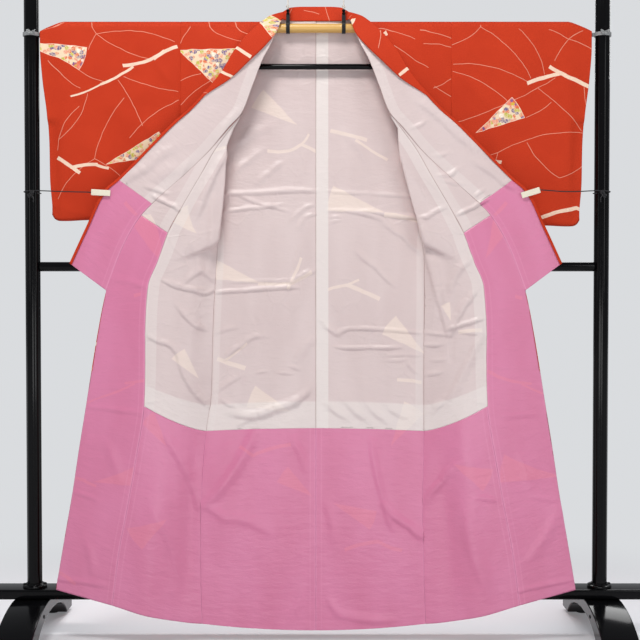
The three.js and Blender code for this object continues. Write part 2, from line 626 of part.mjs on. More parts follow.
// A band round the upright with a tab that reaches the sleeve's top corner
function tieBand(side) {
  const inner = UPRIGHT_RADIUS + FACE_GAP;
  const outer = inner + TIE.thickness;
  const cuff = SLEEVE[SLEEVE.length - 1].out + CUFF_REACH + side * MIDDLE_X + OUTER_TO;
  const reach = UPRIGHT_OUT - cuff - FACE_GAP;
  const angle = Math.asin(TIE.thickness / outer);
  const from = side < 0 ? angle : Math.PI + angle;
  const band = new THREE.Shape();
  band.absarc(0, 0, outer, from, from + 2 * (Math.PI - angle), false);
  band.lineTo(-side * reach, side * TIE.thickness);
  band.lineTo(-side * reach, -side * TIE.thickness);
  band.holes.push(new THREE.Path().absarc(0, 0, inner, 0, 2 * Math.PI, true));
  return new THREE.ExtrudeGeometry(band, { depth: TIE.height, bevelEnabled: false, curveSegments: 10 });
}

// Stand
function footShape() {
  const shape = new THREE.Shape();
  const { half, top, low, tip, flatHalf, slopeReach, slopeDrop } = FOOT;
  shape.moveTo(-half, low);
  shape.lineTo(-ARCH.half, low);
  shape.quadraticCurveTo(ARCH.ease - ARCH.half, ARCH.top, 0, ARCH.top);
  shape.quadraticCurveTo(ARCH.half - ARCH.ease, ARCH.top, ARCH.half, low);
  shape.lineTo(half, low);
  shape.lineTo(half, tip);
  shape.quadraticCurveTo(half - slopeReach, top - slopeDrop, flatHalf, top);
  shape.lineTo(-flatHalf, top);
  shape.quadraticCurveTo(slopeReach - half, top - slopeDrop, -half, tip);
  return shape;
}

function addStand() {
  const alongX = [0, 0, Math.PI / 2];
  const between = 2 * (UPRIGHT_OUT - UPRIGHT_RADIUS - FACE_GAP);
  add('top_bar', rod(TOP_BAR_RADIUS, between), lacquer, [0, 0, TOP_BAR_Z], alongX);
  add('middle_bar', rod(MIDDLE_BAR_RADIUS, between), lacquer, [0, 0, MIDDLE_BAR_Z], alongX);
  const { half, depth, low, high } = BOTTOM_BAR;
  const bar = new THREE.BoxGeometry(2 * half, depth, high - low);
  add('bottom_bar', bar, lacquer, [0, 0, (low + high) / 2]);
  for (const [side, name] of [[-1, 'left'], [1, 'right']]) {
    const x = side * UPRIGHT_OUT;
    const base = high + FACE_GAP;
    const upright = rod(UPRIGHT_RADIUS, UPRIGHT_TOP - base);
    add(`upright_${name}`, upright, lacquer, [x, 0, (UPRIGHT_TOP + base) / 2], [Math.PI / 2, 0, 0]);
    const inner = UPRIGHT_RADIUS + FACE_GAP;
    const { radius, rim, wall: thick, height } = SOCKET;
    const outline = [[inner, 0], [radius, 0], [radius, rim], [inner + thick, height], [inner, height]];
    const profile = [...outline, outline[0]].map(([r, z]) => new THREE.Vector2(r, z));
    const socket = new THREE.LatheGeometry(profile, 24);
    add(`socket_${name}`, socket, lacquer, [x, 0, base], [Math.PI / 2, 0, 0]);
    add(`foot_${name}`, extrudeAlongX(footShape(), FOOT.width, 8), lacquer, [x, 0, 0]);
    for (const [end, y] of [['front', -PAD.y], ['rear', PAD.y]]) {
      const pad = rod(PAD.radius, PAD.height, 16);
      add(`pad_${name}_${end}`, pad, blackCord, [x, y, PAD.height / 2], [Math.PI / 2, 0, 0]);
    }
  }
}

addStand();
addHanger();
for (const [side, name, tilt] of [[-1, 'left', 0.06], [1, 'right', 0.3]]) {
  addBody(side, name);
  addSleeve(side, name);
  addHolders(side, name, tilt);
}
addCollar();

export default part;
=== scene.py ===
"""A komon kimono, opened and turned back from the front, on a black display stand.

Sizes are in millimetres, as in the tables of the part's source, and points become metres when a mesh is made.
"Out" is the distance from the garment's middle line, and "down" is the height below the shoulder.
"""

import math

import bpy
import numpy as np
from mathutils import Matrix, Vector


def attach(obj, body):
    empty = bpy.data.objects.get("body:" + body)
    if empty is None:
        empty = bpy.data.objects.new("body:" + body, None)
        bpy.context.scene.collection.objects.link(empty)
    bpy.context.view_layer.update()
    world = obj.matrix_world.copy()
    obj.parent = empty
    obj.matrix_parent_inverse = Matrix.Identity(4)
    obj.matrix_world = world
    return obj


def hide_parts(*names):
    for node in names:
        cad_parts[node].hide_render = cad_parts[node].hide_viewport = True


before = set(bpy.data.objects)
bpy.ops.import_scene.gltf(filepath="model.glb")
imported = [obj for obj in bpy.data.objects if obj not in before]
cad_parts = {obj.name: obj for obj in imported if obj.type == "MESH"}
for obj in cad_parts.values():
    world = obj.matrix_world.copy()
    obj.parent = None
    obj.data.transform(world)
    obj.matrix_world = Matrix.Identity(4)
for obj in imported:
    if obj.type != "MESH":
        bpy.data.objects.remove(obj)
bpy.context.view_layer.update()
MM = 0.001

# Camera
CAMERA_PLACE = (0.007, -2.9, 0.84)
CAMERA_DOWN = 1.5  # degrees
CAMERA_LENS = 67.4
CAMERA_SENSOR = 36

# Garment
MIDDLE_X = -3
SHOULDER_OUT = 324
NECK_OUT = 84
SHOULDER_Z = 1466
SHOULDER_TURN = 14.5
NECKLINE_RISE = 8
HALF_TURN = 1.6
ROLL = 2.6
OUTER = (0.15, 1.0)
LINING = (-2.2, -1.4)
LINING_SINK = 1.0  # no lining sinks further than this towards the cloth behind it


def table(columns, rows):
    """A table whose first line names its columns, as an array for each name."""
    return dict(zip(columns.split(), np.array(rows, float).T))


# Levels of the body from the shoulder to the hem
BODY_COLUMNS = (
    "z sideZ overlapZ sideLeft sideRight backY backSideY frontSideY "
    "foldLeft foldRight foldY turn overlap overlapY"
)
BODY = table(BODY_COLUMNS, [
    [1466, 1466, 1466, 324, 324, 15, 14.5, -14.5, 0, 0, 0, 0, 0, 0],
    [1430, 1430, 1430, 324, 324, 16, 14, -14, 0, 0, 0, 0, 0, 0],
    [1380, 1380, 1380, 324, 324, 16, 13, -14, 0, 0, 0, 0, 0, 0],
    [1320, 1320, 1320, 324, 324, 12, 12, -14, 0, 0, 0, 0, 0, 0],
    [1259, 1259, 1259, 324, 324, 6, 10, -15, 0, 0, 0, 0, 0, 0],
    [1221, 1221, 1221, 312, 315, 3, 6, -16, 197, 196, -42, 1.6, 203, -44.5],
    [1170, 1170, 1170, 297, 307, -1, 0, -17, 214, 199, -43, 1.6, 239, -47],
    [1115, 1115, 1115, 283, 300, -6, -9, -10.8, 216, 212, -44, 1.6, 270, -51],
    [1041, 1041, 1041, 262, 285, -12, -17, -18.8, 222, 231, -46, 1.6, 313, -56],
    [960, 960, 972, 238, 263, -18, -22, -23.8, 231, 255, -49, 5, 350, -60],
    [900, 900, 905, 239, 261, -21, -25, -25, 0, 0, 0, 0, 374, -62],
    [845, 845, 845, 242, 261, -24, -28, -28, 0, 0, 0, 0, 397, -64],
    [720, 717, 727, 247, 259, -29, -34, -34, 0, 0, 0, 0, 404, -66],
    [602, 594, 636, 250, 258, -34, -39, -39, 0, 0, 0, 0, 404, -69],
    [506, 500, 562, 262, 258, -39, -44, -44, 0, 0, 0, 0, 406, -72],
    [408, 402, 432, 270, 256, -44, -51, -51, 0, 0, 0, 0, 426, -76],
    [306, 300, 328, 274, 255, -50, -57, -57, 0, 0, 0, 0, 444, -80],
    [178, 182, 216, 274, 257, -56, -62, -62, 0, 0, 0, 0, 465, -84],
    [25, 43, 92, 271, 262, -60, -68, -68, 0, 0, 0, 0, 481, -88],
])
DOWN = SHOULDER_Z - BODY["z"]
LAST_NECK, FIRST_OPEN, LAST_TURNED, FIRST_FLAT, PINK_LEVEL, HEM = 4, 5, 9, 10, 14, 18

# Stations of the collar from the middle of the back to its end
COLLAR = table("seam seamY seamZ edge edgeY edgeZ turn turnY turnZ", [
    [0, 15, 1474.7, 0, 27, 1522, 0, 13.5, 1486],
    [34, 15, 1474.7, 33, 27, 1522, 34, 13.5, 1486],
    [67, 14.8, 1474.7, 62, 22, 1519, 63, 11, 1486],
    [85, 14.2, 1476.3, 80, 15, 1508, 77, 7, 1487],
    [86, 5.4, 1482.6, 92, 8, 1503, 81, -2, 1488],
    [87, -5.4, 1482.6, 100, 0, 1498, 83, -10, 1483],
    [88, -14.2, 1476.3, 112, -9, 1491, 86, -18, 1473],
    [90, -19, 1466, 128, -18, 1478, 92, -27, 1454],
    [103, -31, 1430, 160, -32, 1447, 118, -42, 1418],
    [128, -40, 1380, 192, -42, 1406, 160, -50, 1376],
    [151, -42, 1320, 222, -46, 1355, 202, -50, 1337],
    [175, -44, 1259, 268, -47, 1300, 263, -50.4, 1296],
    [208, -46.5, 1221, 300, -47, 1266, 295, -50.4, 1262],
    [250, -48, 1170, 335, -48, 1236, 331, -51.4, 1232],
    [306, -50, 1115, 385, -49, 1186, 381, -52.4, 1182],
    [388, -53, 1041, 470, -51, 1100, 466, -54.4, 1096],
    [414, -54, 1014, 500, -52, 1074, 495, -55.4, 1071],
    [455, -54, 945, 545, -49, 985, 540, -52.4, 983],
    [498, -52, 836, 585, -47, 900, 580, -50.4, 898],
])
SHOULDER_STATION, PINK_STATION, COLLAR_END_LEVEL = 7, 15, 11

# Free edge of the overlap panel below the collar's end
OVERLAP_EDGE = table("out y z", [
    [498, -52, 836],
    [518, -55, 736],
    [535, -58, 632],
    [546, -60, 562],
    [564, -63, 450],
    [577, -66, 362],
    [594, -70, 262],
    [617, -74, 126],
])

SLEEVE = table("out top bottom closed drop", [
    [324, 1466, 1012, 0, 0],
    [400, 1466, 1010, 0, 0],
    [480, 1466, 1008, 0, 0],
    [560, 1466, 1006, 0, 0],
    [606, 1466, 1004, 0, 0],
    [626, 1462.5, 1004.5, 0.7, 2.5],
    [637, 1459, 1009, 0.92, 4.5],
    [644, 1456, 1019, 1, 6],
])
CUFF_OPENING, SHUT_DEPTH, OPEN_SHARE, RIGHT_SLEEVE_SAG = 225, 0.9, 0.45, 13
SLEEVE_PROFILE = table("down depth cuff", [
    [0, 14.5, 18],
    [0.08, 14.5, 18],
    [0.25, 14, 13],
    [0.46, 13.5, 2],
    [0.62, 12, -2],
    [0.8, 8.5, -3],
    [0.95, 4.5, -8],
])

# Soft vertical folds: place across the opened panel, 0 at the side seam or the middle and 1 at the other seam
FRONT_FOLDS = [
    [-1, 0.3, 0.16, 960, 560, -7],
    [-1, 0.62, 0.2, 480, 0, -9],
    [-1, 0.15, 0.12, 500, 60, 6],
    [1, 0.16, 0.14, 980, 690, -11],
    [1, 0.6, 0.2, 620, 0, -8],
    [1, 0.3, 0.14, 470, 60, 6],
]
BACK_FOLDS = [
    [-1, 0.8, 0.14, 520, 180, -5],
    [1, 0.78, 0.16, 900, 420, -5],
    [-1, 0.35, 0.2, 900, 100, -3],
    [1, 0.4, 0.2, 700, 60, -3],
]

# Creases as ridges towards the viewer, seen from the front: both ends, bow, half width and height
CREASE_COLUMNS = "x1 z1 x2 z2 bow width height"
BACK_CREASES = table(CREASE_COLUMNS, [
    [-240, 1064, -139, 1069, 1, 5, 1.6],
    [-139, 1069, -39, 1075, 1, 6, 2],
    [-39, 1075, -3, 1073, 0, 5, 1.6],
    [30, 1073, 118, 1068, -1, 4, 1.2],
    [118, 1068, 250, 1060, -1, 4, 1.1],
    [-221, 1023, -131, 1034, 2, 4, 1.5],
    [-131, 1034, -79, 1041, 1, 4, 1.3],
    [-182, 1061, -131, 1041, -1, 4, 1.2],
    [-131, 1041, -67, 1023, 2, 4, 1.2],
    [-59, 999, -39, 1025, 3, 4, 1.5],
    [-39, 1025, -10, 1039, 3, 4, 1.5],
    [-41, 981, -27, 1010, 2, 4, 1.4],
    [-27, 1010, -6, 1017, 2, 4, 1.4],
    [30, 1025, 79, 1025, 2, 4, 1.3],
    [79, 1025, 151, 1007, 2, 5, 1.8],
    [111, 1027, 163, 1017, 1, 5, 1.8],
    [163, 1017, 255, 1010, -2, 5, 2.2],
    [36, 1010, 56, 1011, 1, 3.5, 1.1],
    [36, 997, 56, 1004, 1, 3.5, 1.2],
    [159, 1001, 207, 965, -3, 8, 1.4],
    [207, 965, 248, 926, -2, 8, 1.2],
    [98, 926, 139, 893, -2, 7, 1.5],
    [139, 893, 183, 849, -2, 6, 1.4],
    [-200, 1114, -163, 1146, 4, 7, 1.4],
    [-163, 1146, -131, 1170, 3, 7, 1.2],
    [-139, 1094, -112, 1119, 3, 7, 1.3],
    [-112, 1119, -83, 1143, 2, 6, 1.1],
    [-39, 940, -51, 885, -2, 5, 1.3],
    [-51, 885, -67, 849, -2, 5, 1.3],
    [-67, 847, -37, 870, 2, 6, 1.6],
    [-37, 870, -10, 881, 2, 6, 1.6],
    [-216, 854, -63, 857, 2, 4, 1],
    [-240, 830, -172, 835, 1, 4, 1.8],
    [-172, 835, -112, 839, 1, 4, 2],
    [-112, 839, -47, 842, 1, 4, 1.8],
    [-236, 736, -196, 746, 2, 6, 1.1],
    [-216, 674, -182, 702, 4, 6, 1.6],
    [-182, 702, -127, 726, 8, 6, 1.4],
    [-236, 596, -188, 628, 2, 6, 1.3],
    [-6, 724, -47, 673, -4, 9, 1.4],
    [-64, 653, -46, 647, 1, 4, 1.2],
    [-143, 638, -120, 642, 1, 3.5, 1],
    [-96, 639, -62, 635, 1, 3.5, 1.1],
    [14, 760, 50, 730, -3, 6, 1.8],
    [50, 730, 74, 743, 1, 4, 1.7],
    [74, 743, 159, 741, 2, 4, 1.7],
    [159, 741, 244, 734, 1, 4, 1.5],
    [50, 699, 123, 699, -2, 4, 1.8],
    [123, 699, 200, 700, -2, 4, 1.7],
    [172, 679, 244, 681, 1, 3.5, 1],
    [170, 668, 214, 670, -1, 3.5, 1],
    [212, 668, 240, 637, -2, 5, 1.1],
    [-223, 571, -199, 559, -2, 6, 1.6],
    [-199, 540, -143, 537, -3, 10, 2.6],
    [-143, 537, -103, 552, -2, 11, 2.8],
    [-103, 552, -63, 564, -1, 11, 2.8],
    [-63, 564, -39, 579, -1, 9, 2.6],
    [-39, 579, -18, 601, -2, 8, 2.2],
    [-192, 509, -163, 527, 2, 7, 1.3],
    [26, 564, 70, 531, -3, 9, 2],
    [74, 566, 118, 528, -3, 11, 2.2],
    [118, 567, 163, 526, -3, 10, 2],
    [170, 558, 215, 533, -3, 9, 1.2],
    [-190, 1190, -120, 1225, 5, 12, 1.4],
    [70, 1210, 120, 1141, 6, 12, 1.4],
])
FRONT_CREASES = table(CREASE_COLUMNS, [
    [-287, 1010, -272, 1046, 0, 11, 2],
    [-272, 1046, -251, 1096, 1, 12, 2.6],
    [-251, 1096, -218, 1158, 1, 9, 2.2],
    [-367, 861, -336, 845, -1, 4, 1.6],
    [-336, 845, -291, 834, -1, 4, 1.8],
    [-291, 834, -270, 829, -1, 4, 1.7],
    [-270, 829, -248, 838, -2, 4, 1.6],
    [-348, 858, -324, 847, -1, 3.5, 1.3],
    [-324, 847, -268, 838, -2, 3.5, 1.4],
    [-314, 854, -277, 883, 2, 7, 1.5],
    [-277, 883, -246, 856, 1, 7, 1.5],
    [-329, 796, -291, 754, -2, 7, 1.8],
    [-291, 754, -270, 744, -1, 6, 1.6],
    [-397, 727, -373, 714, -1, 6, 1.5],
    [-373, 714, -348, 705, 2, 6, 1.7],
    [-348, 705, -329, 680, 2, 7, 1.7],
    [-329, 680, -309, 622, -2, 8, 1.7],
    [-309, 622, -288, 589, -1, 8, 1.8],
    [-288, 589, -263, 563, -1, 8, 1.7],
    [-248, 1048, -258, 891, 3, 10, 1.8],
    [-295, 940, -285, 881, 3, 9, 1.2],
    [247, 1008, 263, 1010, 0, 5, 1.5],
    [263, 1010, 302, 1031, 2, 5, 1.6],
    [248, 994, 263, 932, 0, 8, 2],
    [263, 932, 272, 888, 0, 8, 2.2],
    [272, 888, 283, 843, 0, 8, 1.6],
    [283, 843, 295, 798, 0, 9, 2.2],
    [295, 798, 311, 740, 0, 9, 2.4],
    [319, 829, 325, 859, 1, 9, 1.4],
    [325, 859, 360, 906, 4, 9, 1.8],
    [321, 740, 340, 780, 2, 8, 2],
    [340, 780, 363, 815, 2, 8, 1.8],
    [363, 815, 377, 836, 1, 7, 1.3],
    [311, 741, 340, 752, 1, 4, 2],
    [340, 752, 363, 759, 1, 4, 2],
    [363, 759, 390, 768, 1, 4, 1.8],
    [337, 740, 384, 735, -2, 7, 1.4],
    [260, 735, 317, 730, -1, 4, 1.2],
    [260, 705, 295, 707, -1, 5, 1.4],
    [275, 669, 301, 671, -1, 3.5, 1],
    [263, 635, 297, 642, -2, 5, 1.2],
    [321, 725, 317, 675, -2, 6, -1.6],
    [389, 727, 363, 674, -3, 9, 1.7],
    [363, 674, 335, 617, -2, 10, 1.9],
    [335, 617, 313, 572, -2, 10, 1.8],
    [280, 549, 304, 572, 2, 8, 1.6],
])
OVERLAP_CREASES = table(CREASE_COLUMNS, [
    [-387, 1058, -363, 1046, -1, 4, 1.8],
    [-363, 1046, -337, 1034, -1, 4, 1.9],
    [-337, 1034, -324, 1023, -1, 4, 1.6],
    [-402, 1079, -372, 1070, 1, 5, 1.5],
    [-372, 1070, -353, 1064, -1, 4, 1.2],
    [335, 1015, 371, 1032, 1, 4, 1.9],
    [371, 1032, 406, 1051, 1, 4, 1.9],
    [373, 1057, 397, 1074, 1, 4, 1.2],
    [-483, 863, -408, 844, 2, 5, 1.1],
    [-536, 558, -411, 544, 1, 4.5, 1.1],
    [-572, 355, -520, 338, 2, 5, 0.9],
    [-611, 150, -500, 138, 1, 5, 1.3],
    [567, 307, 504, 205, 3, 12, 1.9],
    [441, 535, 517, 542, 1, 4.5, 1.1],
    [476, 126, 600, 148, 1, 5, 1.3],
    [516, 345, 562, 336, 1, 5, 0.9],
    [-547, 243, -533, 174, 3, 9, 1.3],
    [-500, 470, -470, 390, 3, 10, 1.2],
    [480, 440, 500, 380, 3, 10, 1.2],
])
COLLAR_CREASES = table(CREASE_COLUMNS, [
    [-456, 1092, -402, 1124, 2, 11, 2.2],
    [-402, 1124, -337, 1174, 4, 12, 2],
    [-183, 1267, -236, 1196, -3, 9, 1.4],
    [-397, 1086, -324, 1127, 6, 16, 1.6],
    [-324, 1103, -295, 1147, 3, 8, 1],
    [240, 1281, 282, 1251, 2, 10, 1.6],
    [282, 1251, 335, 1201, 2, 10, 1.8],
    [335, 1201, 382, 1160, 2, 10, 1.6],
    [371, 1141, 442, 1092, 3, 10, 2.2],
    [442, 1092, 469, 1075, 0, 8, 1.8],
    [287, 1107, 320, 1110, -1, 5, 1.3],
    [320, 1110, 332, 1122, 1, 5, 1.3],
    [223, 1219, 259, 1239, -3, 5, 1.2],
    [281, 1155, 314, 1160, -1, 5, 1],
    [299, 1097, 346, 1088, -3, 6, 1.1],
])
PINK_BACK_CREASES = table(CREASE_COLUMNS, [
    [-153, 496, -221, 378, 5, 13, 3.0],
    [-221, 378, -272, 324, 3, 9, 2.4],
    [-264, 318, -222, 292, 3, 9, 1.4],
    [-60, 480, -30, 410, 4, 8, 1.2],
    [-222, 292, -120, 262, 8, 14, 1.3],
    [129, 472, 162, 321, -4, 7, 1.5],
    [162, 321, 177, 272, -2, 7, 1.6],
    [162, 321, 222, 272, -5, 9, 2.2],
    [222, 272, 252, 246, -2, 9, 2.2],
    [31, 95, 55, 61, -3, 9, 1.4],
    [55, 61, 172, 48, -4, 10, 1.6],
    [-40, 120, -60, 60, 4, 9, 1.0],
    [20, 330, 40, 230, 4, 10, 1.0],
])
PINK_FRONT_CREASES = table(CREASE_COLUMNS, [
    [-351, 479, -282, 325, 6, 14, 2.4],
    [-380, 300, -330, 160, 8, 14, 1.6],
    [321, 418, 296, 382, -2, 10, 2.4],
    [296, 382, 264, 344, -2, 8, 2.2],
    [384, 344, 418, 339, 1, 6, 1.2],
    [350, 300, 400, 130, -8, 15, 1.8],
])
SHOULDER_CREASES = table(CREASE_COLUMNS, [
    [215, 1466, 227, 1421, 4, 9, 3.0],
    [227, 1421, 270, 1324, 4, 10, 3.4],
    [246, 1457, 241, 1409, 3, 9, 2.2],
    [188, 1432, 226, 1355, 3, 9, 2.4],
    [285, 1440, 300, 1330, 6, 14, 2.0],
    [-250, 1445, -190, 1405, 6, 14, 2.6],
    [-215, 1400, -180, 1350, 4, 12, 2.2],
    [-300, 1420, -285, 1290, 6, 14, 1.8],
    [-240, 1330, -215, 1290, 4, 10, 2.0],
])
SLEEVE_CREASES = table(CREASE_COLUMNS, [
    [-363, 1461, -375, 1425, 3, 12, 2.0],
    [-430, 1450, -445, 1400, 3, 14, 1.4],
    [-600, 1440, -560, 1380, 8, 22, 2.2],
    [-337, 1281, -327, 1255, 2, 8, 2.4],
    [-621, 1330, -613, 1030, 2, 8, -2.6],
    [-470, 1466, -480, 1440, 2, 10, 1.6],
    [-395, 1400, -345, 1330, -5, 13, 2.4],
    [-455, 1250, -350, 1180, 8, 18, 2.0],
    [615, 1330, 612, 1050, 2, 8, -2.2],
    [350, 1340, 420, 1260, 6, 14, 2.4],
    [470, 1455, 480, 1410, 3, 11, 1.8],
    [600, 1455, 575, 1425, 3, 11, 1.8],
    [-520, 1300, -380, 1120, 16, 30, 2.4],
    [-580, 1200, -500, 1090, 14, 26, 2.0],
    [360, 1450, 350, 1380, 4, 14, 2.0],
    [430, 1440, 500, 1330, 10, 24, 2.2],
    [560, 1420, 600, 1330, 8, 22, 2.0],
    [400, 1280, 480, 1100, -14, 28, 2.4],
    [540, 1180, 590, 1060, 10, 24, 1.8],
])


def camera():
    data = bpy.data.cameras.new("camera")
    data.lens = CAMERA_LENS
    data.sensor_width = CAMERA_SENSOR
    made = bpy.data.objects.new("camera", data)
    made.location = CAMERA_PLACE
    made.rotation_euler = (math.radians(90 - CAMERA_DOWN), 0, 0)
    bpy.context.scene.collection.objects.link(made)
    bpy.context.scene.camera = made


camera()


# Smooth values from tables
def pchip(x, y, at):
    """Smooth values at some places between the rows of y at rising x, with no overshoot."""
    x = np.asarray(x, float)
    y = np.asarray(y, float)
    at = np.clip(at, x[0], x[-1])
    step = np.diff(x)
    slope = np.diff(y) / step
    w1, w2 = 2 * step[1:] + step[:-1], step[1:] + 2 * step[:-1]
    with np.errstate(divide="ignore", invalid="ignore"):
        inner = (w1 + w2) / (w1 / slope[:-1] + w2 / slope[1:])
    inner = np.where(slope[1:] * slope[:-1] > 0, inner, 0)
    tangent = np.concatenate([slope[:1], inner, slope[-1:]])
    i = np.clip(np.searchsorted(x, at, side="right") - 1, 0, len(x) - 2)
    t = (at - x[i]) / step[i]
    t2, t3 = t * t, t * t * t
    return (
        (2 * t3 - 3 * t2 + 1) * y[i]
        + (t3 - 2 * t2 + t) * step[i] * tangent[i]
        + (3 * t2 - 2 * t3) * y[i + 1]
        + (t3 - t2) * step[i] * tangent[i + 1]
    )


def lerp(a, b, t):
    return a + (b - a) * t


def smooth(t):
    t = np.clip(t, 0, 1)
    return t * t * (3 - 2 * t)


def level(name, down, first=0, last=HEM):
    """A column of the body's table at some heights below the shoulder, as a column of numbers."""
    rows = slice(first, last + 1)
    return pchip(DOWN[rows], BODY[name][rows], down)[:, None]


def samples(marks, step):
    """Numbers from the first mark to the last through each of them, about a step apart."""
    parts = []
    for a, b in zip(marks, marks[1:]):
        parts.append(np.linspace(a, b, max(1, round(abs(b - a) / step)), endpoint=False))
    return np.append(np.concatenate(parts), marks[-1])


NEAR_SEAM = np.array([1.2, 2.6, 4.4])


def edged(values, start=True, end=True):
    """The numbers with a few more close to both ends, where a seam pulls the cloth in."""
    low, high = values[0], values[-1]
    sign = 1 if high > low else -1
    more = [values]
    if start:
        more.append(low + sign * NEAR_SEAM)
    if end:
        more.append(high - sign * NEAR_SEAM)
    return np.unique(np.round(np.concatenate(more), 4))[::sign]


def wave_noise(x, y, size, seed):
    """Smooth, seeded unevenness from -1 to 1, about one wave in each size."""
    dice = np.random.default_rng(seed)
    total = 0
    for _ in range(9):
        angle, phase = dice.uniform(0, math.pi), dice.uniform(0, 2 * math.pi)
        reach = 2 * math.pi / (size * dice.uniform(0.7, 1.6))
        total = total + np.sin((x * math.cos(angle) + y * math.sin(angle)) * reach + phase)
    return total / 4.5


def fold_depth(folds, side, across, z):
    depth = 0
    for fold_side, at, width, high, low, most in folds:
        if fold_side != side:
            continue
        along = np.clip((high - z) / (high - low), 0, 1)
        fade = np.clip((high - z) / 200, 0, 1) if low == 0 else np.sin(math.pi * along)
        depth = depth + most * fade * np.exp(-(((across - at) / width) ** 2))
    return depth


WIDE_SIDE, STEEP_SIDE = 1.25, 0.7  # a crease is wider above, and steeper below
TAPERED, FULL = 0.35, 0.65  # its height at both ends, and what its middle has more


def ridges(creases, x, z):
    """The height of a table of creases at some places, seen from the front."""
    total = np.zeros(np.broadcast(x, z).shape)
    for x1, z1, x2, z2, bow, width, height in zip(*creases.values()):
        dx, dz = x2 - x1, z2 - z1
        length = math.hypot(dx, dz)
        t = ((x - x1) * dx + (z - z1) * dz) / length**2
        off = ((x - x1) * -dz + (z - z1) * dx) / length
        inside = np.clip(t, 0, 1)
        off = off - 4 * bow * inside * (1 - inside)
        past = np.abs(t - inside) * length
        reach = np.exp(-((past / (1.5 * width)) ** 2))
        taper = TAPERED + FULL * np.sin(math.pi * np.clip(inside, 0.02, 0.98)) ** 0.6
        side = np.where(off > 0, WIDE_SIDE, STEEP_SIDE)
        total += height * taper * reach * np.exp(-((off / (width * side)) ** 2))
    return total


def stack(*parts):
    """Points from arrays of x, y and z that are widened to one shape."""
    return np.stack(np.broadcast_arrays(*parts), axis=-1).astype(float)


# Sections of the garment, for heights below the shoulder and places k across. On the back k is 0 in the
# middle, on a front it is 0 at the overlap panel's seam, and it is 9 at the side
SIDE_K, NECK_K, TURN_K = 9, 5, 3


def side_out(side, down):
    return level("sideLeft" if side < 0 else "sideRight", down)


def back_points(side, down, k):
    out = side_out(side, down)
    inner = NECK_OUT * k / NECK_K
    outer = lerp(NECK_OUT, out, (k - NECK_K) / (SIDE_K - NECK_K))
    at = np.where(k <= NECK_K, inner, outer)
    across = at / out
    base, side_z = level("z", down), level("sideZ", down)
    rise = NECKLINE_RISE * np.clip(1 - down[:, None] / DOWN[1], 0, 1) * np.clip(NECK_K - k, 0, 1)
    z = lerp(base + rise, side_z, across**2)
    sag = fold_depth(BACK_FOLDS, side, across, base)
    bulge = np.clip(down[:, None] / DOWN[1], 0, 1)
    y = lerp(level("backY", down), level("backSideY", down), across**2)
    y = np.where(k >= NECK_K, lerp(BODY["backSideY"][0], y, bulge), y)
    return stack(MIDDLE_X + side * at, y + sag * bulge, z)


def shoulder_points(side, angle, k):
    angle = angle[:, None]
    neck = lerp(NECK_OUT, COLLAR["seam"][SHOULDER_STATION], angle / 180)
    out = lerp(neck, SHOULDER_OUT, (k - NECK_K) / (SIDE_K - NECK_K))
    turn = np.radians(angle)
    y, rise = SHOULDER_TURN * np.cos(turn), SHOULDER_TURN * np.sin(turn)
    return stack(MIDDLE_X + side * out, y, SHOULDER_Z + rise)


def neck_points(side, down, k):
    """A front above the overlap panel's point, from the side to the collar's seam."""
    rows = slice(SHOULDER_STATION, SHOULDER_STATION + FIRST_OPEN + 1)
    x = DOWN[: FIRST_OPEN + 1]
    seam = pchip(x, COLLAR["seam"][rows], down)[:, None]
    inner = COLLAR["seamY"][rows] + 2 * HALF_TURN
    inner[0] = BODY["frontSideY"][0]
    inner_y = pchip(x, inner, down)[:, None]
    inward = np.clip((SIDE_K - k) / (SIDE_K - NECK_K), 0, 1)
    y = lerp(level("frontSideY", down), inner_y, inward)
    return stack(MIDDLE_X + side * lerp(SHOULDER_OUT, seam, inward), y, level("z", down))


def turned_points(side, down, k):
    """A front that runs in behind its turned edge, round it and out again."""
    part = (FIRST_OPEN, LAST_TURNED)
    fold = level("foldLeft" if side < 0 else "foldRight", down, *part)
    fold_y, turn = level("foldY", down, *part), level("turn", down, *part)
    roll = turn * ROLL / HALF_TURN
    seam = side_out(side, down)
    inward = np.clip((SIDE_K - k) / (SIDE_K - NECK_K), 0, 1)
    outward = np.clip((TURN_K - k) / TURN_K, 0, 1)
    angle = math.pi / 2 * np.clip((k - TURN_K - 1), -1, 1)
    tip = fold + roll * (1 - np.cos(angle))
    side_z = level("sideZ", down)
    behind = k >= NECK_K
    before = k <= TURN_K
    out = np.where(behind, lerp(seam, fold + roll, inward), tip)
    out = np.where(before, lerp(fold + roll, level("overlap", down, *part), outward), out)
    panel_y = lerp(level("frontSideY", down), fold_y + turn, inward)
    y = np.where(behind, panel_y, fold_y + turn * np.sin(angle))
    y = np.where(before, lerp(fold_y - turn, level("overlapY", down, *part), outward), y)
    z = lerp(side_z, level("overlapZ", down, *part), outward)
    return stack(MIDDLE_X + side * out, y, z)


def open_points(side, down, k):
    """A front as one open panel from the side seam to the overlap panel's seam."""
    across = 1 - k / SIDE_K
    part = (LAST_TURNED, HEM)
    side_z = level("sideZ", down)
    z = lerp(side_z, level("overlapZ", down, *part), across**1.4)
    sag = fold_depth(FRONT_FOLDS, side, across, z)
    y = lerp(level("frontSideY", down), level("overlapY", down, *part), np.sin(across * math.pi / 2))
    out = lerp(side_out(side, down), level("overlap", down, *part), across)
    return stack(MIDDLE_X + side * out, y + sag, z)


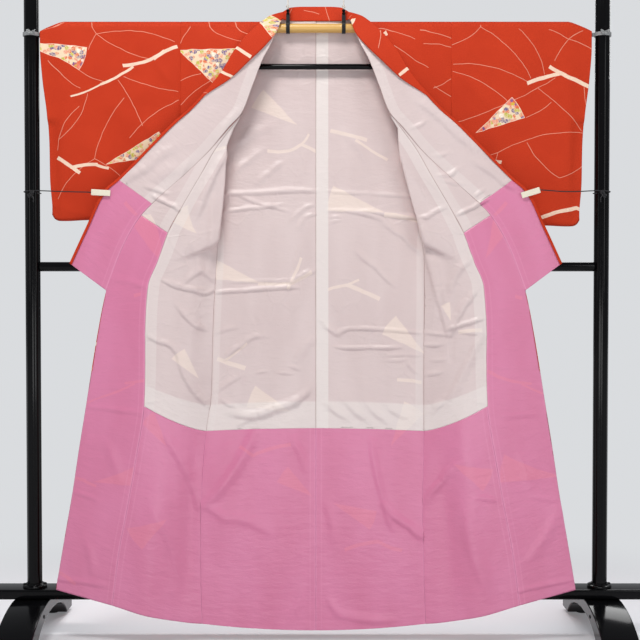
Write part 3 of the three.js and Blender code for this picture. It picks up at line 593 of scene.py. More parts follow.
def front_points(side, down, k):
    """A front from the shoulder to the hem."""
    down = np.asarray(down, float)
    rows = []
    joins = [DOWN[LAST_NECK], DOWN[FIRST_OPEN], DOWN[LAST_TURNED], DOWN[FIRST_FLAT]]
    for d in down:
        one = np.array([d])
        if d < joins[0]:
            row = neck_points(side, one, k)
        elif d < joins[1]:
            t = (d - joins[0]) / (joins[1] - joins[0])
            above = neck_points(side, np.array([joins[0]]), k)
            row = lerp(above, turned_points(side, np.array([joins[1]]), k), t)
        elif d <= joins[2]:
            row = turned_points(side, one, k)
        elif d < joins[3]:
            t = smooth((d - joins[2]) / (joins[3] - joins[2]))
            row = lerp(turned_points(side, one, k), open_points(side, one, k), t)
        else:
            row = open_points(side, one, k)
        rows.append(row[0])
    return np.array(rows)


def overlap_points(side, down, across):
    """The overlap panel from its seam on the front to the collar or its free edge."""
    out, y, z = (level(name, down, FIRST_OPEN) for name in ("overlap", "overlapY", "overlapZ"))
    start = stack(MIDDLE_X + side * out, y, z)
    point = down < DOWN[FIRST_OPEN]
    if point.any():
        start[point] = front_points(side, down[point], np.array([0.0]))
    levels = DOWN[LAST_NECK:]
    seamed = COLLAR_END_LEVEL - LAST_NECK
    first = SHOULDER_STATION + LAST_NECK
    ends = {}
    for collar_name, edge_name in [("seam", "out"), ("seamY", "y"), ("seamZ", "z")]:
        on_collar = COLLAR[collar_name][first : first + seamed]
        ends[edge_name] = pchip(levels, np.concatenate([on_collar, OVERLAP_EDGE[edge_name]]), down)[:, None]
    end = stack(MIDDLE_X + side * ends["out"], ends["y"], ends["z"])
    return start + (end - start) * across[None, :, None]


def collar_frame(along):
    """The collar's seam, edge, turned edge and two directions at places along it from the back's middle."""
    middle_out = (COLLAR["seam"] + COLLAR["edge"]) / 2
    middle_y = (COLLAR["seamY"] + COLLAR["edgeY"]) / 2
    middle_z = (COLLAR["seamZ"] + COLLAR["edgeZ"]) / 2
    steps = np.sqrt(np.diff(middle_out) ** 2 + np.diff(middle_y) ** 2 + np.diff(middle_z) ** 2)
    length = np.concatenate([[0], np.cumsum(steps)])
    size, side = np.abs(along), np.sign(along)

    def line(name):
        out, y, z = (pchip(length, COLLAR[name + axis], size) for axis in ("", "Y", "Z"))
        return np.stack([MIDDLE_X + side * out, y, z], axis=-1)

    seam, edge, turn = line("seam"), line("edge"), line("turn")
    up = edge - seam
    up /= np.linalg.norm(up, axis=1, keepdims=True)
    forward = np.gradient((seam + edge) / 2, axis=0)
    apart = -np.cross(up, forward)
    apart /= np.linalg.norm(apart, axis=1, keepdims=True)
    return length, seam, edge, turn, up, apart


def collar_points(along, flat_steps=12, round_steps=8, lap_steps=10):
    """Collar sections from the seam to the folded edge, round it and to the turned-over edge, with widths."""
    _, seam, edge, turn, up, apart = collar_frame(along)
    near = edge - up * ROLL
    over = near + apart * 2 * HALF_TURN
    far = np.linalg.norm(turn - over, axis=1, keepdims=True) > 4
    last = np.where(far, turn, over - up * 3)
    columns, widths = [], []
    band = np.linalg.norm(near - seam, axis=1)
    for t in edged(samples([0, 1], 1 / flat_steps) * 80, end=False) / 80:
        columns.append(lerp(seam, near, t) - apart * (1.2 * math.sin(math.pi * t)))
        widths.append(band * t)
    for t in samples([0, 1], 1 / round_steps)[1:]:
        angle = math.pi * t
        columns.append(near + apart * HALF_TURN * (1 - math.cos(angle)) + up * ROLL * math.sin(angle))
        widths.append(band + math.pi * ROLL * t * 0.8)
    lap = np.linalg.norm(last - over, axis=1)
    for t in samples([0, 1], 1 / lap_steps)[1:]:
        columns.append(lerp(over, last, t) + apart * (0.6 * math.sin(math.pi * t)))
        widths.append(band + math.pi * ROLL * 0.8 + lap * t)
    return np.stack(columns, axis=1), np.stack(widths, axis=1)


def sleeve_points(side, out, down):
    """The front half of a sleeve from its top fold, for places out along it and shares of its height."""
    column = {name: pchip(SLEEVE["out"], SLEEVE[name], out)[:, None] for name in SLEEVE}
    bottom = column["bottom"] - (RIGHT_SLEEVE_SAG if side > 0 else 0)
    z = lerp(column["top"], bottom, down)
    share = np.clip(down, 0, 0.95)
    depth = pchip(SLEEVE_PROFILE["down"], SLEEVE_PROFILE["depth"], share)
    rounding = np.sqrt(np.clip(1 - (np.clip(down - 0.95, 0, None) / 0.05) ** 2, 0, 1))
    reach = pchip(SLEEVE_PROFILE["down"], SLEEVE_PROFILE["cuff"], share)
    closed = column["closed"]
    sewn = smooth((SHOULDER_Z - CUFF_OPENING - z) / 20 + 0.5)
    depth = lerp(depth, SHUT_DEPTH, closed * lerp(OPEN_SHARE, 1, sewn)) * rounding
    points = stack(MIDDLE_X + side * (column["out"] + closed * reach), depth, z)
    return points, closed, column["drop"], column["top"]


# Cloth
class Cloth:
    """Patches of points, in millimetres, that are welded into one sheet. Flat places say where a point lies
    on the cloth, across and along, and how far it is from the patch's first and last edge."""

    def __init__(self):
        self.points, self.flat, self.quads = [], [], []

    def patch(self, points, flat):
        rows, columns = points.shape[:2]
        start = sum(len(p) for p in self.points)
        index = start + np.arange(rows * columns).reshape(rows, columns)
        near = np.abs(flat[..., 0] - flat[:, :1, 0])
        far = np.abs(flat[:, -1:, 0] - flat[..., 0])
        self.points.append(points.reshape(-1, 3))
        self.flat.append(np.stack([flat[..., 0], flat[..., 1], near, far], axis=-1).reshape(-1, 4))
        corners = [index[:-1, :-1], index[1:, :-1], index[1:, 1:], index[:-1, 1:]]
        self.quads.append(np.stack(corners, axis=-1).reshape(-1, 4))
        return self

    def weld(self):
        points, flat, quads = (np.concatenate(x) for x in (self.points, self.flat, self.quads))
        key = np.round(points * 200).astype(np.int64)
        _, first, inverse = np.unique(key, axis=0, return_index=True, return_inverse=True)
        quads = inverse.reshape(-1)[quads]
        points, flat = points[first], flat[first]
        same = (quads == np.roll(quads, -1, axis=1)).sum(axis=1)
        return points, flat, quads[same == 0]

    def wall(self, name, layer, outward, relief=None, inset=0.05):
        """A thin closed wall between two distances from the sheet, once a relief has moved the sheet."""
        points, flat, quads = self.weld()
        normals = vertex_normals(points, quads)
        if (normals * outward(points)).sum() < 0:
            quads = quads[:, ::-1]
            normals = -normals
        edges = np.stack([quads, np.roll(quads, -1, axis=1)], axis=-1).reshape(-1, 2)
        low, high = edges.min(axis=1), edges.max(axis=1)
        _, where, uses = np.unique(low * len(points) + high, return_index=True, return_counts=True)
        rim = edges[where[uses == 1]]
        if relief is not None:
            points = points + normals * relief(points, flat)[:, None]
            normals = vertex_normals(points, quads)
        points = inset_rim(points, rim, normals, inset)
        near, far = points + normals * layer[0], points + normals * layer[1]
        count = len(points)
        sides = np.stack([rim[:, 0], rim[:, 1], rim[:, 1] + count, rim[:, 0] + count], axis=-1)
        faces = np.concatenate([quads + count, quads[:, ::-1], sides])
        return mesh_piece(name, np.concatenate([near, far]), faces, np.concatenate([flat, flat]))


def vertex_normals(points, quads):
    a, b, c, d = (points[quads[:, i]] for i in range(4))
    face = np.cross(c - a, d - b)
    total = np.zeros_like(points)
    for i in range(4):
        np.add.at(total, quads[:, i], face)
    return total / np.maximum(np.linalg.norm(total, axis=1, keepdims=True), 1e-9)


def inset_rim(points, rim, normals, inset):
    """The points with those on the rim moved in from it a little, so that sewn pieces stay apart."""
    if not inset:
        return points
    push = np.zeros_like(points)
    direction = points[rim[:, 1]] - points[rim[:, 0]]
    direction /= np.maximum(np.linalg.norm(direction, axis=1, keepdims=True), 1e-9)
    for end in (0, 1):
        np.add.at(push, rim[:, end], np.cross(normals[rim[:, end]], direction))
    size = np.linalg.norm(push, axis=1, keepdims=True)
    return points + np.where(size > 0, push / np.maximum(size, 1e-9), 0) * inset


def mesh_piece(name, points, faces, flat=None):
    """A mesh object from points in millimetres and a list of faces, or an array where all are alike."""
    mesh = bpy.data.meshes.new(name)
    if isinstance(faces, np.ndarray):
        size = faces.shape[1]
        mesh.vertices.add(len(points))
        mesh.vertices.foreach_set("co", (points * MM).astype(np.float32).ravel())
        mesh.loops.add(faces.size)
        mesh.loops.foreach_set("vertex_index", faces.astype(np.int32).ravel())
        mesh.polygons.add(len(faces))
        mesh.polygons.foreach_set("loop_start", np.arange(0, faces.size, size, dtype=np.int32))
    else:
        mesh.from_pydata([tuple(p * MM) for p in points], [], faces)
    mesh.update(calc_edges=True)
    mesh.validate()
    if flat is not None:
        corner = np.zeros(len(mesh.loops), np.int32)
        mesh.loops.foreach_get("vertex_index", corner)
        for layer_name, columns in (("flat", slice(0, 2)), ("seams", slice(2, 4))):
            layer = mesh.uv_layers.new(name=layer_name)
            layer.data.foreach_set("uv", (flat[corner, columns] * MM).astype(np.float32).ravel())
    mesh.polygons.foreach_set("use_smooth", [True] * len(mesh.polygons))
    made = bpy.data.objects.new(name, mesh)
    bpy.context.scene.collection.objects.link(made)
    return made


def finish_piece(made, material, nodes):
    made.data.materials.append(material)
    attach(made, "root")
    if nodes:
        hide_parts(*nodes)
    return made


# Materials
class Nodes:
    """A node tree and short ways to add its nodes."""

    def __init__(self, tree):
        self.tree = tree

    def node(self, kind, *inputs, **properties):
        made = self.tree.nodes.new("ShaderNode" + kind)
        for name, value in properties.items():
            setattr(made, name, value)
        for socket, value in zip(made.inputs, inputs):
            self.set(socket, value)
        return made

    def set(self, socket, value):
        if isinstance(value, bpy.types.NodeSocket):
            self.tree.links.new(value, socket)
        elif value is not None:
            socket.default_value = value

    def math(self, operation, *inputs):
        return self.node("Math", *inputs, operation=operation).outputs[0]

    def scaled(self, vector, x, y, z=1.0):
        return self.node("VectorMath", vector, (x, y, z), operation="MULTIPLY").outputs[0]

    def moved(self, vector, x, y, z=0.0):
        return self.node("VectorMath", vector, (x, y, z), operation="ADD").outputs[0]


class Shader(Nodes):
    """The nodes of a new material."""

    def __init__(self, name, **settings):
        self.material = bpy.data.materials.new(name)
        self.material.use_nodes = True
        super().__init__(self.material.node_tree)
        self.surface = self.tree.nodes["Principled BSDF"]
        for socket, value in settings.items():
            self.surface.inputs[socket.replace("_", " ")].default_value = value

    def flat(self):
        """The flat place on the cloth, in millimetres."""
        uv = self.node("UVMap", uv_map="flat").outputs[0]
        return self.scaled(uv, 1000, 1000)

    def noise(self, vector, scale, detail=2.0, roughness=0.5):
        made = self.node("TexNoise")
        self.set(made.inputs["Vector"], vector)
        made.inputs["Scale"].default_value = scale
        made.inputs["Detail"].default_value = detail
        made.inputs["Roughness"].default_value = roughness
        return made.outputs["Fac"]

    def mix(self, factor, a, b):
        made = self.node("Mix", data_type="RGBA", clamp_factor=True)
        self.set(made.inputs[0], factor)
        self.set(made.inputs[6], colour(a) if isinstance(a, tuple) else a)
        self.set(made.inputs[7], colour(b) if isinstance(b, tuple) else b)
        return made.outputs[2]

    def between(self, value, low, high, to_low=0.0, to_high=1.0):
        made = self.node("MapRange", value, low, high, to_low, to_high, interpolation_type="SMOOTHSTEP")
        return made.outputs[0]

    def bump(self, height, strength, distance):
        made = self.node("Bump")
        made.inputs["Strength"].default_value = strength
        made.inputs["Distance"].default_value = distance
        self.set(made.inputs["Height"], height)
        self.set(self.surface.inputs["Normal"], made.outputs[0])

    def object_place(self):
        return self.node("TexCoord").outputs["Object"]


def colour(rgb):
    """A linear colour from one as it shows on a screen, 0 to 255."""
    share = [c / 255 for c in rgb]
    return tuple(c / 12.92 if c <= 0.04045 else ((c + 0.055) / 1.055) ** 2.4 for c in share) + (1.0,)


# The dyed pattern, in millimetres across and along the cloth. That of the sleeves and the overlap panels
# repeats, its first half laid out for the left sleeve and its second for the right one. On the body, places
# along the cloth are positive on the front and negative on the back, and those across start at the middle of
# the back. On the collar, places across start at its seam, and those along it at the middle of the back, with
# the left side negative. Lines have both ends and their bow, branches a width too, and fans a tip's place,
# inner and outer radius, direction and half angle in degrees
REPEAT = (350, 960)
SLEEVE_LINES = [
    [201, 27, 213, 4, 1],
    [201, 27, 220, 65, -2],
    [201, 27, 14, 45, 16],
    [201, 27, 75, 85, -8],
    [257, 99, 184, 140, -6],
    [305, 90, 240, 157, -8],
    [136, 128, 6, 164, -5],
    [150, 136, 92, 246, 4],
    [123, 275, 4, 184, 10],
    [136, 179, 208, 324, -10],
    [223, 169, 293, 278, 12],
    [298, 303, 244, 198, 12],
    [208, 324, 120, 402, 10],
    [208, 324, 300, 420, -10],
    [80, 300, 20, 420, 10],
    [340, 30, 280, 6, 3],
    [2, 532, 71, 489, 6],
    [71, 489, 192, 612, -12],
    [162, 494, 224, 602, -10],
    [303, 498, 249, 570, 6],
    [234, 496, 345, 558, -4],
    [6, 578, 187, 622, -14],
    [4, 596, 135, 667, -10],
    [19, 716, 250, 611, 8],
    [209, 637, 315, 736, -6],
    [179, 706, 241, 669, 3],
    [310, 632, 323, 681, 2],
    [113, 790, 318, 741, -16],
    [182, 765, 260, 850, 8],
    [113, 790, 60, 900, -8],
    [20, 830, 113, 790, -4],
    [260, 850, 340, 800, 8],
]
SLEEVE_BRANCHES = [
    [264, 176, 190, 146, -3, 4],
    [192, 147, 114, 104, -3, 6],
    [138, 102, 60, 82, -4, 8],
    [64, 86, 38, 68, 0, 9],
    [46, 73, 8, 57, 1, 8],
    [298, 322, 243, 357, 1, 9],
    [260, 343, 200, 338, 2, 8],
    [206, 338, 174, 346, -1, 7],
    [106, 809, 122, 812, 0, 8],
    [184, 624, 264, 601, -3, 9],
    [236, 583, 336, 638, 2, 9],
    [206, 950, 312, 921, -4, 9],
    [312, 921, 344, 930, 1, 8],
]
SLEEVE_FANS = [
    [360, 42, 2, 138, 161, 12],
    [182, 337, 2, 152, 199, 11.5],
    [58, 744, 2, 124, -31, 13.5],
]
# Lines that both halves of the body share on the back and below the shoulders
BODY_LINES = [
    [10, -60, 150, -110, -10],
    [150, -110, 318, -60, 12],
    [150, -110, 120, -250, 10],
    [150, -110, 280, -220, -12],
    [280, -220, 318, -340, -8],
    [280, -220, 200, -380, 14],
    [200, -380, 10, -430, -12],
    [200, -380, 300, -470, 8],
    [200, -380, 170, -540, -10],
    [170, -540, 20, -520, 10],
    [170, -540, 310, -640, -14],
    [170, -540, 90, -700, 12],
    [90, -700, 250, -780, 14],
    [90, -700, 10, -830, -8],
    [250, -780, 130, -900, 10],
    [130, -900, 20, -1000, -10],
    [130, -900, 280, -1010, -12],
    [130, -900, 110, -1090, 10],
    [110, -1090, 270, -1180, 12],
    [110, -1090, 20, -1230, -8],
    [270, -1180, 140, -1310, -10],
    [140, -1310, 20, -1400, 8],
    [140, -1310, 260, -1420, -8],
    [300, 300, 180, 420, 10],
    [180, 420, 300, 560, 12],
    [180, 420, 40, 500, -10],
    [300, 560, 150, 720, -10],
    [150, 720, 310, 860, 12],
    [150, 720, 20, 840, -8],
    [310, 860, 120, 1000, -12],
    [120, 1000, 290, 1130, 10],
    [120, 1000, 30, 1180, 8],
    [290, 1130, 140, 1300, -12],
    [140, 1300, 300, 1400, 8],
]
LEFT_LINES = [
    [325, 128, 275, 112, 2],
    [258, 0, 172, 36, -8],
    [196, 0, 156, 19, -3],
    [330, 54, 300, 4, 4],
    [324, 186, 230, 121, 6],
    [230, 121, 150, 70, 4],
]
LEFT_BRANCHES = [
    [117, -294, 63, -294, 2, 7],
    [63, -294, 35, -280, 1, 7],
    [35, -280, -6, -300, -2, 7],
    [35, -280, 17, -254, 1, 5],
    [139, -614, 61, -614, 1, 8],
    [61, -614, 10, -586, 1, 8],
    [68, -626, 35, -552, 2, 6],
    [235, -789, 169, -813, 1, 9],
    [220, -794, 165, -755, 2, 5],
    [172, 36, 150, 26, 0, 9],
    [60, -998, 150, -1023, 4, 8],
    [150, -1023, 182, -1000, 1, 7],
    [250, 286, 180, 316, 3, 8],
]
LEFT_FANS = [
    [45, -232, 2, 118, 34, 13],
    [135, -612, 2, 132, 16, 12],
    [60, -920, 2, 106, 22, 15],
    [8, -1123, 2, 92, 37, 14],
    [330, 54, 2, 138, 158, 22],
    [240, 501, 2, 86, -140, 18],
    [292, 836, 2, 76, -135, 16],
    [232, 1014, 2, 68, -145, 17],
    [240, 1176, 2, 104, 140, 16],
]
RIGHT_LINES = [
    [135, 5, 237, 31, -6],
    [249, 9, 324, 27, -3],
    [166, 30, 268, 99, 3],
    [256, 42, 330, 50, -4],
    [283, 142, 327, 167, 1],
    [280, 147, 330, 120, 1],
]
RIGHT_BRANCHES = [
    [36, -246, 123, -268, 1, 8],
    [96, -268, 172, -316, -1, 6],
    [165, -448, 252, -467, 3, 8],
    [29, -629, 76, -617, 1, 7],
    [76, -617, 104, -605, 1, 5],
    [76, -617, 152, -651, 1, 9],
    [195, -840, 252, -843, 1, 7],
    [154, 24, 170, 15, 1, 11],
    [240, 730, 186, 727, 1, 8],
    [70, -1248, 150, -1228, 3, 8],
    [150, -1228, 205, -1250, -3, 8],
]
RIGHT_FANS = [
    [165, -444, 2, 138, 165, 13],
    [262, -778, 2, 112, 143, 14],
    [41, -1138, 2, 106, -22, 13],
    [180, -998, 2, 112, 60, 14],
    [258, 702, 2, 44, -72, 16],
    [250, 1046, 2, 100, 150, 14],
]
COLLAR_LINES = [
    [20, 10, 100, 34, 3],
    [60, -30, 70, 8, 1],
    [30, 96, 110, 60, 3],
    [40, 150, 100, 200, 3],
    [50, -60, 120, -100, 2],
    [40, -420, 110, -350, 2],
    [10, 420, 40, 520, 3],
    [10, -520, 40, -620, 3],
]
COLLAR_BRANCHES = [
    [48, -230, 112, -218, 1, 8],
    [60, -302, 110, -286, 1, 7],
    [44, 110, 112, 128, 1, 8],
    [60, 286, 104, 283, 1, 8],
    [8, -640, 48, -655, 1, 8],
    [8, 700, 48, 690, 1, 8],
]
COLLAR_FANS = [
    [-30, -126, 30, 150, 0, 12],
]


WOBBLE = {"scale": 0.03, "most": 5}  # the unevenness of hand-drawn strokes


def pattern_group(name, lines, branches, fans, repeat=None):
    """Nodes for how far a flat place is from a line, a branch and a fan, and how near to a fan's tip."""
    tree = bpy.data.node_groups.new(name, "ShaderNodeTree")
    face = tree.interface
    face.new_socket("Place", in_out="INPUT", socket_type="NodeSocketVector")
    for output in ("Line", "Branch", "Fan", "Tip"):
        face.new_socket(output, in_out="OUTPUT", socket_type="NodeSocketFloat")
    start = tree.nodes.new("NodeGroupInput")
    end = tree.nodes.new("NodeGroupOutput")

    group = Nodes(tree)
    node, maths = group.node, group.math

    def combined(operation, values):
        best = values[0]
        for value in values[1:]:
            best = maths(operation, best, value)
        return best

    place = start.outputs[0]
    wobble = node("TexNoise")
    tree.links.new(place, wobble.inputs["Vector"])
    wobble.inputs["Scale"].default_value = WOBBLE["scale"]
    wobble.inputs["Detail"].default_value = 1.0
    uneven = group.moved(wobble.outputs["Color"], -0.5, -0.5, -0.5)
    uneven = group.scaled(uneven, WOBBLE["most"], WOBBLE["most"], 0)
    place = node("VectorMath", place, uneven, operation="ADD").outputs[0]
    if repeat:
        place = node("VectorMath", place, (*repeat, 1), (0, 0, 0), operation="WRAP").outputs[0]

    def turned(x, y, angle, scale):
        where = (x, y, 0), (0, 0, angle), (scale, scale, 1)
        return node("Mapping", place, *where, vector_type="TEXTURE").outputs[0]

    def stroke(x1, y1, x2, y2, bow, width=None):
        """The distance to a bowed stroke in millimetres, or in half widths where it has a width."""
        dx, dy = x2 - x1, y2 - y1
        length = math.hypot(dx, dy)
        xyz = node("SeparateXYZ", turned(x1, y1, math.atan2(dy, dx), length))
        along, off = xyz.outputs[0], xyz.outputs[1]
        arch = maths("MULTIPLY", along, maths("SUBTRACT", 1.0, along))
        aside = maths("ABSOLUTE", maths("MULTIPLY_ADD", arch, -4 * bow / length, off))
        beyond = maths("MULTIPLY", arch, -8.0)
        unit = length if width is None else 2 * length / width
        return maths("MULTIPLY", maths("MAXIMUM", aside, beyond), unit)

    def fan(x, y, inner, outer, direction, half):
        """The distance into a fan's outline, negative inside, and a value that rises to its tip."""
        local = turned(x, y, math.radians(direction), 1)
        xyz = node("SeparateXYZ", local)
        radius = node("VectorMath", local, operation="LENGTH").outputs["Value"]
        turn = maths("ABSOLUTE", maths("ARCTAN2", xyz.outputs[1], xyz.outputs[0]))
        middle = maths("ABSOLUTE", maths("SUBTRACT", radius, (inner + outer) / 2))
        ring = maths("SUBTRACT", middle, (outer - inner) / 2)
        wedge = maths("MULTIPLY", maths("SUBTRACT", turn, math.radians(half)), radius)
        edge = maths("MAXIMUM", ring, wedge)
        tip = maths("ADD", maths("SUBTRACT", radius, outer), maths("MULTIPLY", xyz.outputs[1], -0.7))
        outside = maths("MULTIPLY", maths("GREATER_THAN", edge, 4.0), -1000.0)
        return edge, maths("ADD", tip, outside)

    edges, tips = zip(*[fan(*row) for row in fans])
    found = [
        combined("MINIMUM", [stroke(*row) for row in lines]),
        combined("MINIMUM", [stroke(*row) for row in branches]),
        combined("MINIMUM", edges),
        combined("MAXIMUM", tips),
    ]
    for value, socket in zip(found, end.inputs):
        tree.links.new(value, socket)
    return tree


PATTERNS = {
    "sleeve": pattern_group("sleeve_pattern", SLEEVE_LINES, SLEEVE_BRANCHES, SLEEVE_FANS, REPEAT),
    "left": pattern_group("left_pattern", LEFT_LINES + BODY_LINES, LEFT_BRANCHES, LEFT_FANS),
    "right": pattern_group("right_pattern", RIGHT_LINES + BODY_LINES, RIGHT_BRANCHES, RIGHT_FANS),
    "collar": pattern_group("collar_pattern", COLLAR_LINES, COLLAR_BRANCHES, COLLAR_FANS),
}
RED, RED_DEEP = (206, 63, 29), (180, 48, 22)
CREAM, CREAM_DEEP, LINE_TINT = (240, 220, 196), (236, 196, 172), (238, 176, 150)
FAN_GROUND, FAN_TIP, FAN_RIM = (236, 212, 180), (228, 122, 98), (246, 214, 190)
FLOWERS = [
    (0.0, (238, 214, 182)),
    (0.13, (92, 76, 134)),
    (0.27, (188, 182, 58)),
    (0.43, (222, 104, 60)),
    (0.6, (232, 146, 122)),
    (0.76, (248, 238, 226)),
    (0.86, (124, 92, 150)),
    (0.93, (206, 196, 60)),
]


def pattern(shader, kind, shift):
    """The nodes of one of the patterns, moved by this piece's own shift."""
    place = shader.moved(shader.flat(), shift[0], shift[1])
    group = shader.node("Group", node_tree=PATTERNS[kind])
    shader.set(group.inputs[0], place)
    return place, group.outputs


def weave(shader, place, across=1.6, along=1.6):
    """Threads as two crossing waves, and their slight unevenness."""
    threads = []
    for axis, pitch in ((0, across), (1, along)):
        xyz = shader.node("SeparateXYZ", place)
        wave = shader.math("SINE", shader.math("MULTIPLY", xyz.outputs[axis], 2 * math.pi / pitch))
        threads.append(wave)
    return shader.math("MULTIPLY", threads[0], threads[1])


def flowers(shader, place, fan, tip):
    """Small flowers in a fan, as cells of which each has one colour, its reddish tip and its pale outline."""
    cells = shader.node("TexVoronoi")
    shader.set(cells.inputs["Vector"], place)
    cells.inputs["Scale"].default_value = 0.115
    petals = shader.node("TexVoronoi", feature="SMOOTH_F1")
    shader.set(petals.inputs["Vector"], place)
    petals.inputs["Scale"].default_value = 0.36
    petals.inputs["Smoothness"].default_value = 0.2
    pick = shader.node("SeparateColor", cells.outputs["Color"]).outputs[0]
    ramp = shader.node("ValToRGB", pick)
    ramp.color_ramp.interpolation = "CONSTANT"
    while len(ramp.color_ramp.elements) < len(FLOWERS):
        ramp.color_ramp.elements.new(0.5)
    for element, (at, rgb) in zip(ramp.color_ramp.elements, FLOWERS):
        element.position, element.color = at, colour(rgb)
    ground = shader.mix(shader.between(tip, -11, -5), FAN_GROUND, FAN_TIP)
    petal = shader.between(petals.outputs["Distance"], 0.36, 0.6, 1.0, 0.45)
    spread = shader.between(cells.outputs["Distance"], 0.56, 0.72, 1.0, 0.0)
    inside = shader.mix(shader.math("MULTIPLY", petal, spread), ground, ramp.outputs[0])
    return shader.mix(shader.between(fan, -1.4, -0.9), inside, FAN_RIM)


def red_cloth(name, kind, shift=(0, 0)):
    shader = Shader(name, Roughness=0.72, Specular_IOR_Level=0.15)
    place, found = pattern(shader, kind, shift)
    line, branch, fan, tip = found
    crepe = shader.noise(place, 0.7, 2.0)
    fade = shader.noise(place, 0.012, 2.0)
    base = shader.mix(shader.between(crepe, 0.3, 0.7), RED, RED_DEEP)
    base = shader.mix(shader.between(fade, 0.3, 0.7, 0.0, 0.3), base, RED_DEEP)
    base = shader.mix(shader.between(line, 0.35, 1.05, 0.62, 0.0), base, LINE_TINT)
    stripe = shader.noise(place, 0.05, 1.0)
    limb = shader.mix(stripe, CREAM, CREAM_DEEP)
    base = shader.mix(shader.between(branch, 0.85, 1.1, 1.0, 0.0), base, limb)
    inside = flowers(shader, place, fan, tip)
    base = shader.mix(shader.between(fan, -0.5, 0.3, 1.0, 0.0), base, inside)
    shader.set(shader.surface.inputs["Base Color"], base)
    shader.bump(shader.math("ADD", crepe, shader.math("MULTIPLY", weave(shader, place), 0.25)), 0.35, 0.0006)
    return shader.material


LININGS = {
    "white": {
        "own": (215, 197, 195),
        "mottled": (209, 190, 188),
        "doubled": (228, 219, 215),
        "motif": (239, 221, 207),
        # the dark line at the seams: partly thread, partly painted shade of the seam's recess
        "seam": (146, 104, 98),
        "slot": "body_lining",
        "gloss": 0.38,
        "motif_share": 0.55,
        "crumpled": 0.3,
        "seam_shade_share": 0.6,
    },
    "pink": {
        "own": (214, 127, 163),
        "mottled": (209, 120, 155),
        "doubled": (224, 144, 180),
        "motif": (230, 132, 148),
        # the dark line at the seams: partly thread, partly painted shade of the seam's recess
        "seam": (158, 76, 108),
        "slot": "hem_lining",
        "gloss": 0.34,
        "motif_share": 0.35,
        "crumpled": 0.0,
        "seam_shade_share": 0.3,
    },
}


def lining_cloth(name, ground, kind, shift, bands):
    """A thin lining, with the red cloth's motifs faint behind it, a dark line at each seam that is partly
    thread and partly painted shade of the seam's recess, and fine crumples.
    Bands are stretches with more cloth behind: what is measured, from, to, how much shows, and how soft."""
    look = LININGS[ground]
    shine = {"Specular_IOR_Level": 0.55, "Sheen_Weight": 0.1, "Sheen_Roughness": 0.35}
    shader = Shader(f"{name}_{ground}", Roughness=look["gloss"], **shine)
    place, found = pattern(shader, kind, shift)
    _, branch, fan, _ = found
    on_branch, in_fan = shader.between(branch, 0.7, 1.5, 1.0, 0.0), shader.between(fan, -2, 2, 1.0, 0.0)
    motif = shader.math("MULTIPLY", shader.math("MAXIMUM", on_branch, in_fan), look["motif_share"])
    mottle = shader.noise(shader.scaled(place, 1, 0.3), 0.012, 2.0, 0.5)
    base = shader.mix(shader.between(mottle, 0.3, 0.7), look["own"], look["mottled"])
    base = shader.mix(motif, base, look["motif"])
    flat = shader.node("SeparateXYZ", shader.flat())
    from_seams = shader.node("UVMap", uv_map="seams").outputs[0]
    seams = shader.node("SeparateXYZ", shader.scaled(from_seams, 1000, 1000))
    measures = {"down": flat.outputs[1], "near": seams.outputs[0], "far": seams.outputs[1]}
    for measure, low, high, share, soft in bands:
        value = measures[measure]
        rising = shader.between(value, low - soft, low + soft)
        falling = shader.between(value, high - soft, high + soft, 1.0, 0.0)
        inside = shader.math("MULTIPLY", rising, falling)
        base = shader.mix(shader.math("MULTIPLY", inside, share), base, look["doubled"])
    # A dark line along each seam, darkest at the seam itself: partly the thread's colour, partly painted
    # shade of the seam's recess
    edge = shader.math("MINIMUM", seams.outputs[0], seams.outputs[1])
    base = shader.mix(shader.between(edge, 0.5, 1.7, look["seam_shade_share"], 0.0), base, look["seam"])
    shader.set(shader.surface.inputs["Base Color"], base)
    crinkle = shader.noise(shader.scaled(place, 0.6, 1.6), 0.035, 4.0, 0.6)
    crumple = shader.node("TexVoronoi", feature="DISTANCE_TO_EDGE")
    wander = shader.noise(place, 0.02, 2.0)
    bent_place = shader.node("VectorMath", place, wander, operation="ADD").outputs[0]
    shader.set(crumple.inputs["Vector"], bent_place)
    crumple.inputs["Scale"].default_value = 0.02
    fold = shader.between(crumple.outputs["Distance"], 0.0, 0.1, look["crumpled"], 0.0)
    pressed = shader.between(shader.noise(place, 0.006, 2.0), 0.5, 0.66)
    crinkle = shader.math("MULTIPLY_ADD", fold, pressed, crinkle)
    height = shader.math("MULTIPLY_ADD", weave(shader, place, 1.1, 1.1), 0.01, crinkle)
    shader.bump(height, 0.5, 0.004)
    return shader.material


def plain(name, rgb, other, scale, roughness, bump=0.2):
    """A surface with slight unevenness of colour and height."""
    shader = Shader(name, Roughness=roughness, Specular_IOR_Level=0.5)
    place = shader.object_place()
    grain = shader.noise(place, scale, 4.0, 0.6)
    shader.set(shader.surface.inputs["Base Color"], shader.mix(grain, rgb, other))
    shader.bump(grain, bump, 0.0004)
    return shader.material


def lacquer_material():
    shader = Shader("lacquer", Roughness=0.2, Specular_IOR_Level=0.14, Coat_Weight=0.03, Coat_Roughness=0.08)
    place = shader.object_place()
    dust = shader.noise(place, 60, 5.0, 0.7)
    wear = shader.noise(place, 6, 3.0)
    shader.set(shader.surface.inputs["Base Color"], shader.mix(dust, (4, 4, 5), (10, 10, 12)))
    shader.set(shader.surface.inputs["Roughness"], shader.between(wear, 0.3, 0.8, 0.1, 0.18))
    shader.bump(dust, 0.06, 0.0003)
    return shader.material


